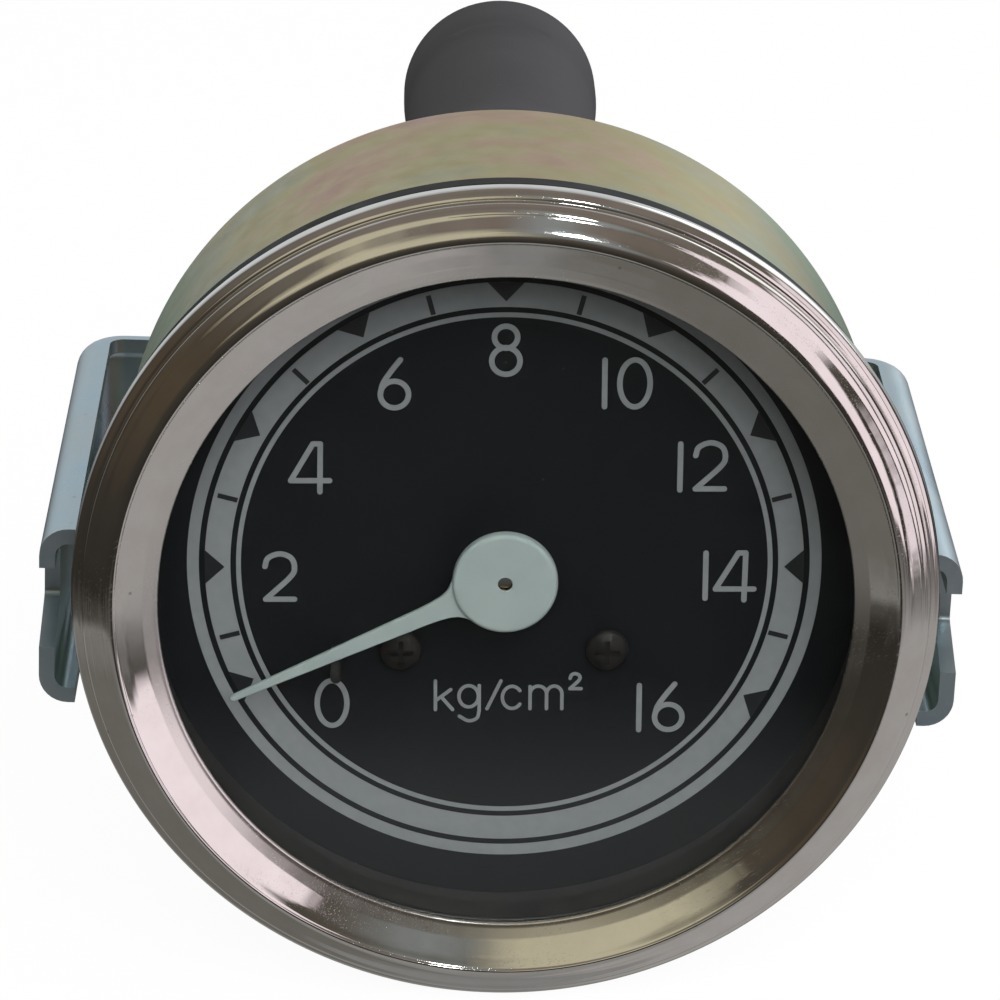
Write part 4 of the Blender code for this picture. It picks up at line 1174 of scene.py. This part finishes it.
def make_world():
    """White to the eye; to everything else a dim room with a window on the right."""
    world = bpy.data.worlds.new("studio")
    bpy.context.scene.world = world
    world.use_nodes = True
    tree = world.node_tree
    tree.nodes.clear()
    place = node(tree, "ShaderNodeTexCoord").outputs["Generated"]
    x, y, z = node(tree, "ShaderNodeSeparateXYZ", {"Vector": place}).outputs
    front = math_node(tree, "MULTIPLY", y, -1.0)
    wobble = remap(tree, noise(tree, place, 7.0, 4.0, 0.6), 0.3, 0.7, -3.0, 3.0)
    to_degrees = 360.0 / TURN
    plain_azimuth = math_node(tree, "MULTIPLY", math_node(tree, "ARCTAN2", x, front), to_degrees)
    plain_elevation = math_node(tree, "MULTIPLY", math_node(tree, "ARCSINE", z), to_degrees)
    azimuth = math_node(tree, "ADD", plain_azimuth, wobble)
    elevation = math_node(tree, "ADD", plain_elevation, wobble)
    level = remap(tree, plain_elevation, -90.0, 90.0)
    stops = [((angle + 90.0) / 180.0, colour) for angle, colour in ROOM_LEVELS]
    room = colour_ramp(tree, level, stops)
    for azimuths, elevations, soft, colour in ROOM_PANELS:
        mask = panel_mask(tree, azimuth, elevation, azimuths, elevations, soft)
        room = mixed(tree, mask, room, (*colour, 1.0))
    turned_away = math_node(tree, "ABSOLUTE", plain_azimuth)
    behind = panel_mask(tree, turned_away, plain_elevation, (138.0, 200.0), (-8.0, 46.0), 10.0)
    room = mixed(tree, behind, room, BACKDROP)
    seen = node(tree, "ShaderNodeLightPath").outputs["Is Camera Ray"]
    colour = mixed(tree, seen, room, (1.0, 1.0, 1.0, 1.0))
    back = node(tree, "ShaderNodeBackground", {"Color": colour, "Strength": 1.0})
    out = node(tree, "ShaderNodeOutputWorld")
    tree.links.new(back.outputs[0], out.inputs["Surface"])


def make_floor():
    """Plain pale floor; mirrors look past it into the room."""
    level = cad_box[0].z - 0.0001
    corners = [(-FLOOR_HALF, -FLOOR_HALF), (FLOOR_HALF, -FLOOR_HALF),
               (FLOOR_HALF, FLOOR_HALF), (-FLOOR_HALF, FLOOR_HALF)]
    mesh = bpy.data.meshes.new("floor")
    mesh.from_pydata([(x, y, level) for x, y in corners], [], [(0, 1, 2, 3)])
    obj = bpy.data.objects.new("floor", mesh)
    bpy.context.scene.collection.objects.link(obj)
    made, tree, shader, place = started("pale_floor", Specular_IOR_Level=0.1, Roughness=0.8)
    rays = node(tree, "ShaderNodeLightPath").outputs
    paper = effect(tree, "blotches", Vector=place, Scale=0.01, Contrast=0.4)["Mask"]
    wire(tree, shader, Base_Color=mixed(tree, paper, (0.86, 0.86, 0.86, 1.0),
                                        (0.88, 0.88, 0.88, 1.0)))
    glow = node(tree, "ShaderNodeEmission", {"Color": (1.0, 1.0, 1.0, 1.0), "Strength": 1.06})
    share = math_node(tree, "MULTIPLY", rays["Is Camera Ray"], 0.9)
    lit = node(tree, "ShaderNodeMixShader", {0: share, 1: shader.outputs[0], 2: glow.outputs[0]})
    clear = node(tree, "ShaderNodeBsdfTransparent")
    both = node(tree, "ShaderNodeMixShader",
                {0: rays["Is Glossy Ray"], 1: lit.outputs[0], 2: clear.outputs[0]})
    tree.links.new(both.outputs[0], tree.nodes["Material Output"].inputs["Surface"])
    mesh.materials.append(made)


def main():
    make_camera()
    make_world()
    make_lights()
    make_floor()
    make_bezel()
    make_window()
    make_spacer()
    make_gasket()
    make_case()
    make_dial()
    make_scale()
    make_lettering()
    make_dial_screws()
    make_zero_stop()
    make_pointer()
    make_stem()
    make_socket_block()
    make_case_screws()
    make_boot()
    make_lamp_bush()
    make_nut()
    make_stem_washers()
    make_bracket()
    dress_movement()
    bpy.context.scene.view_settings.view_transform = "Standard"


main()
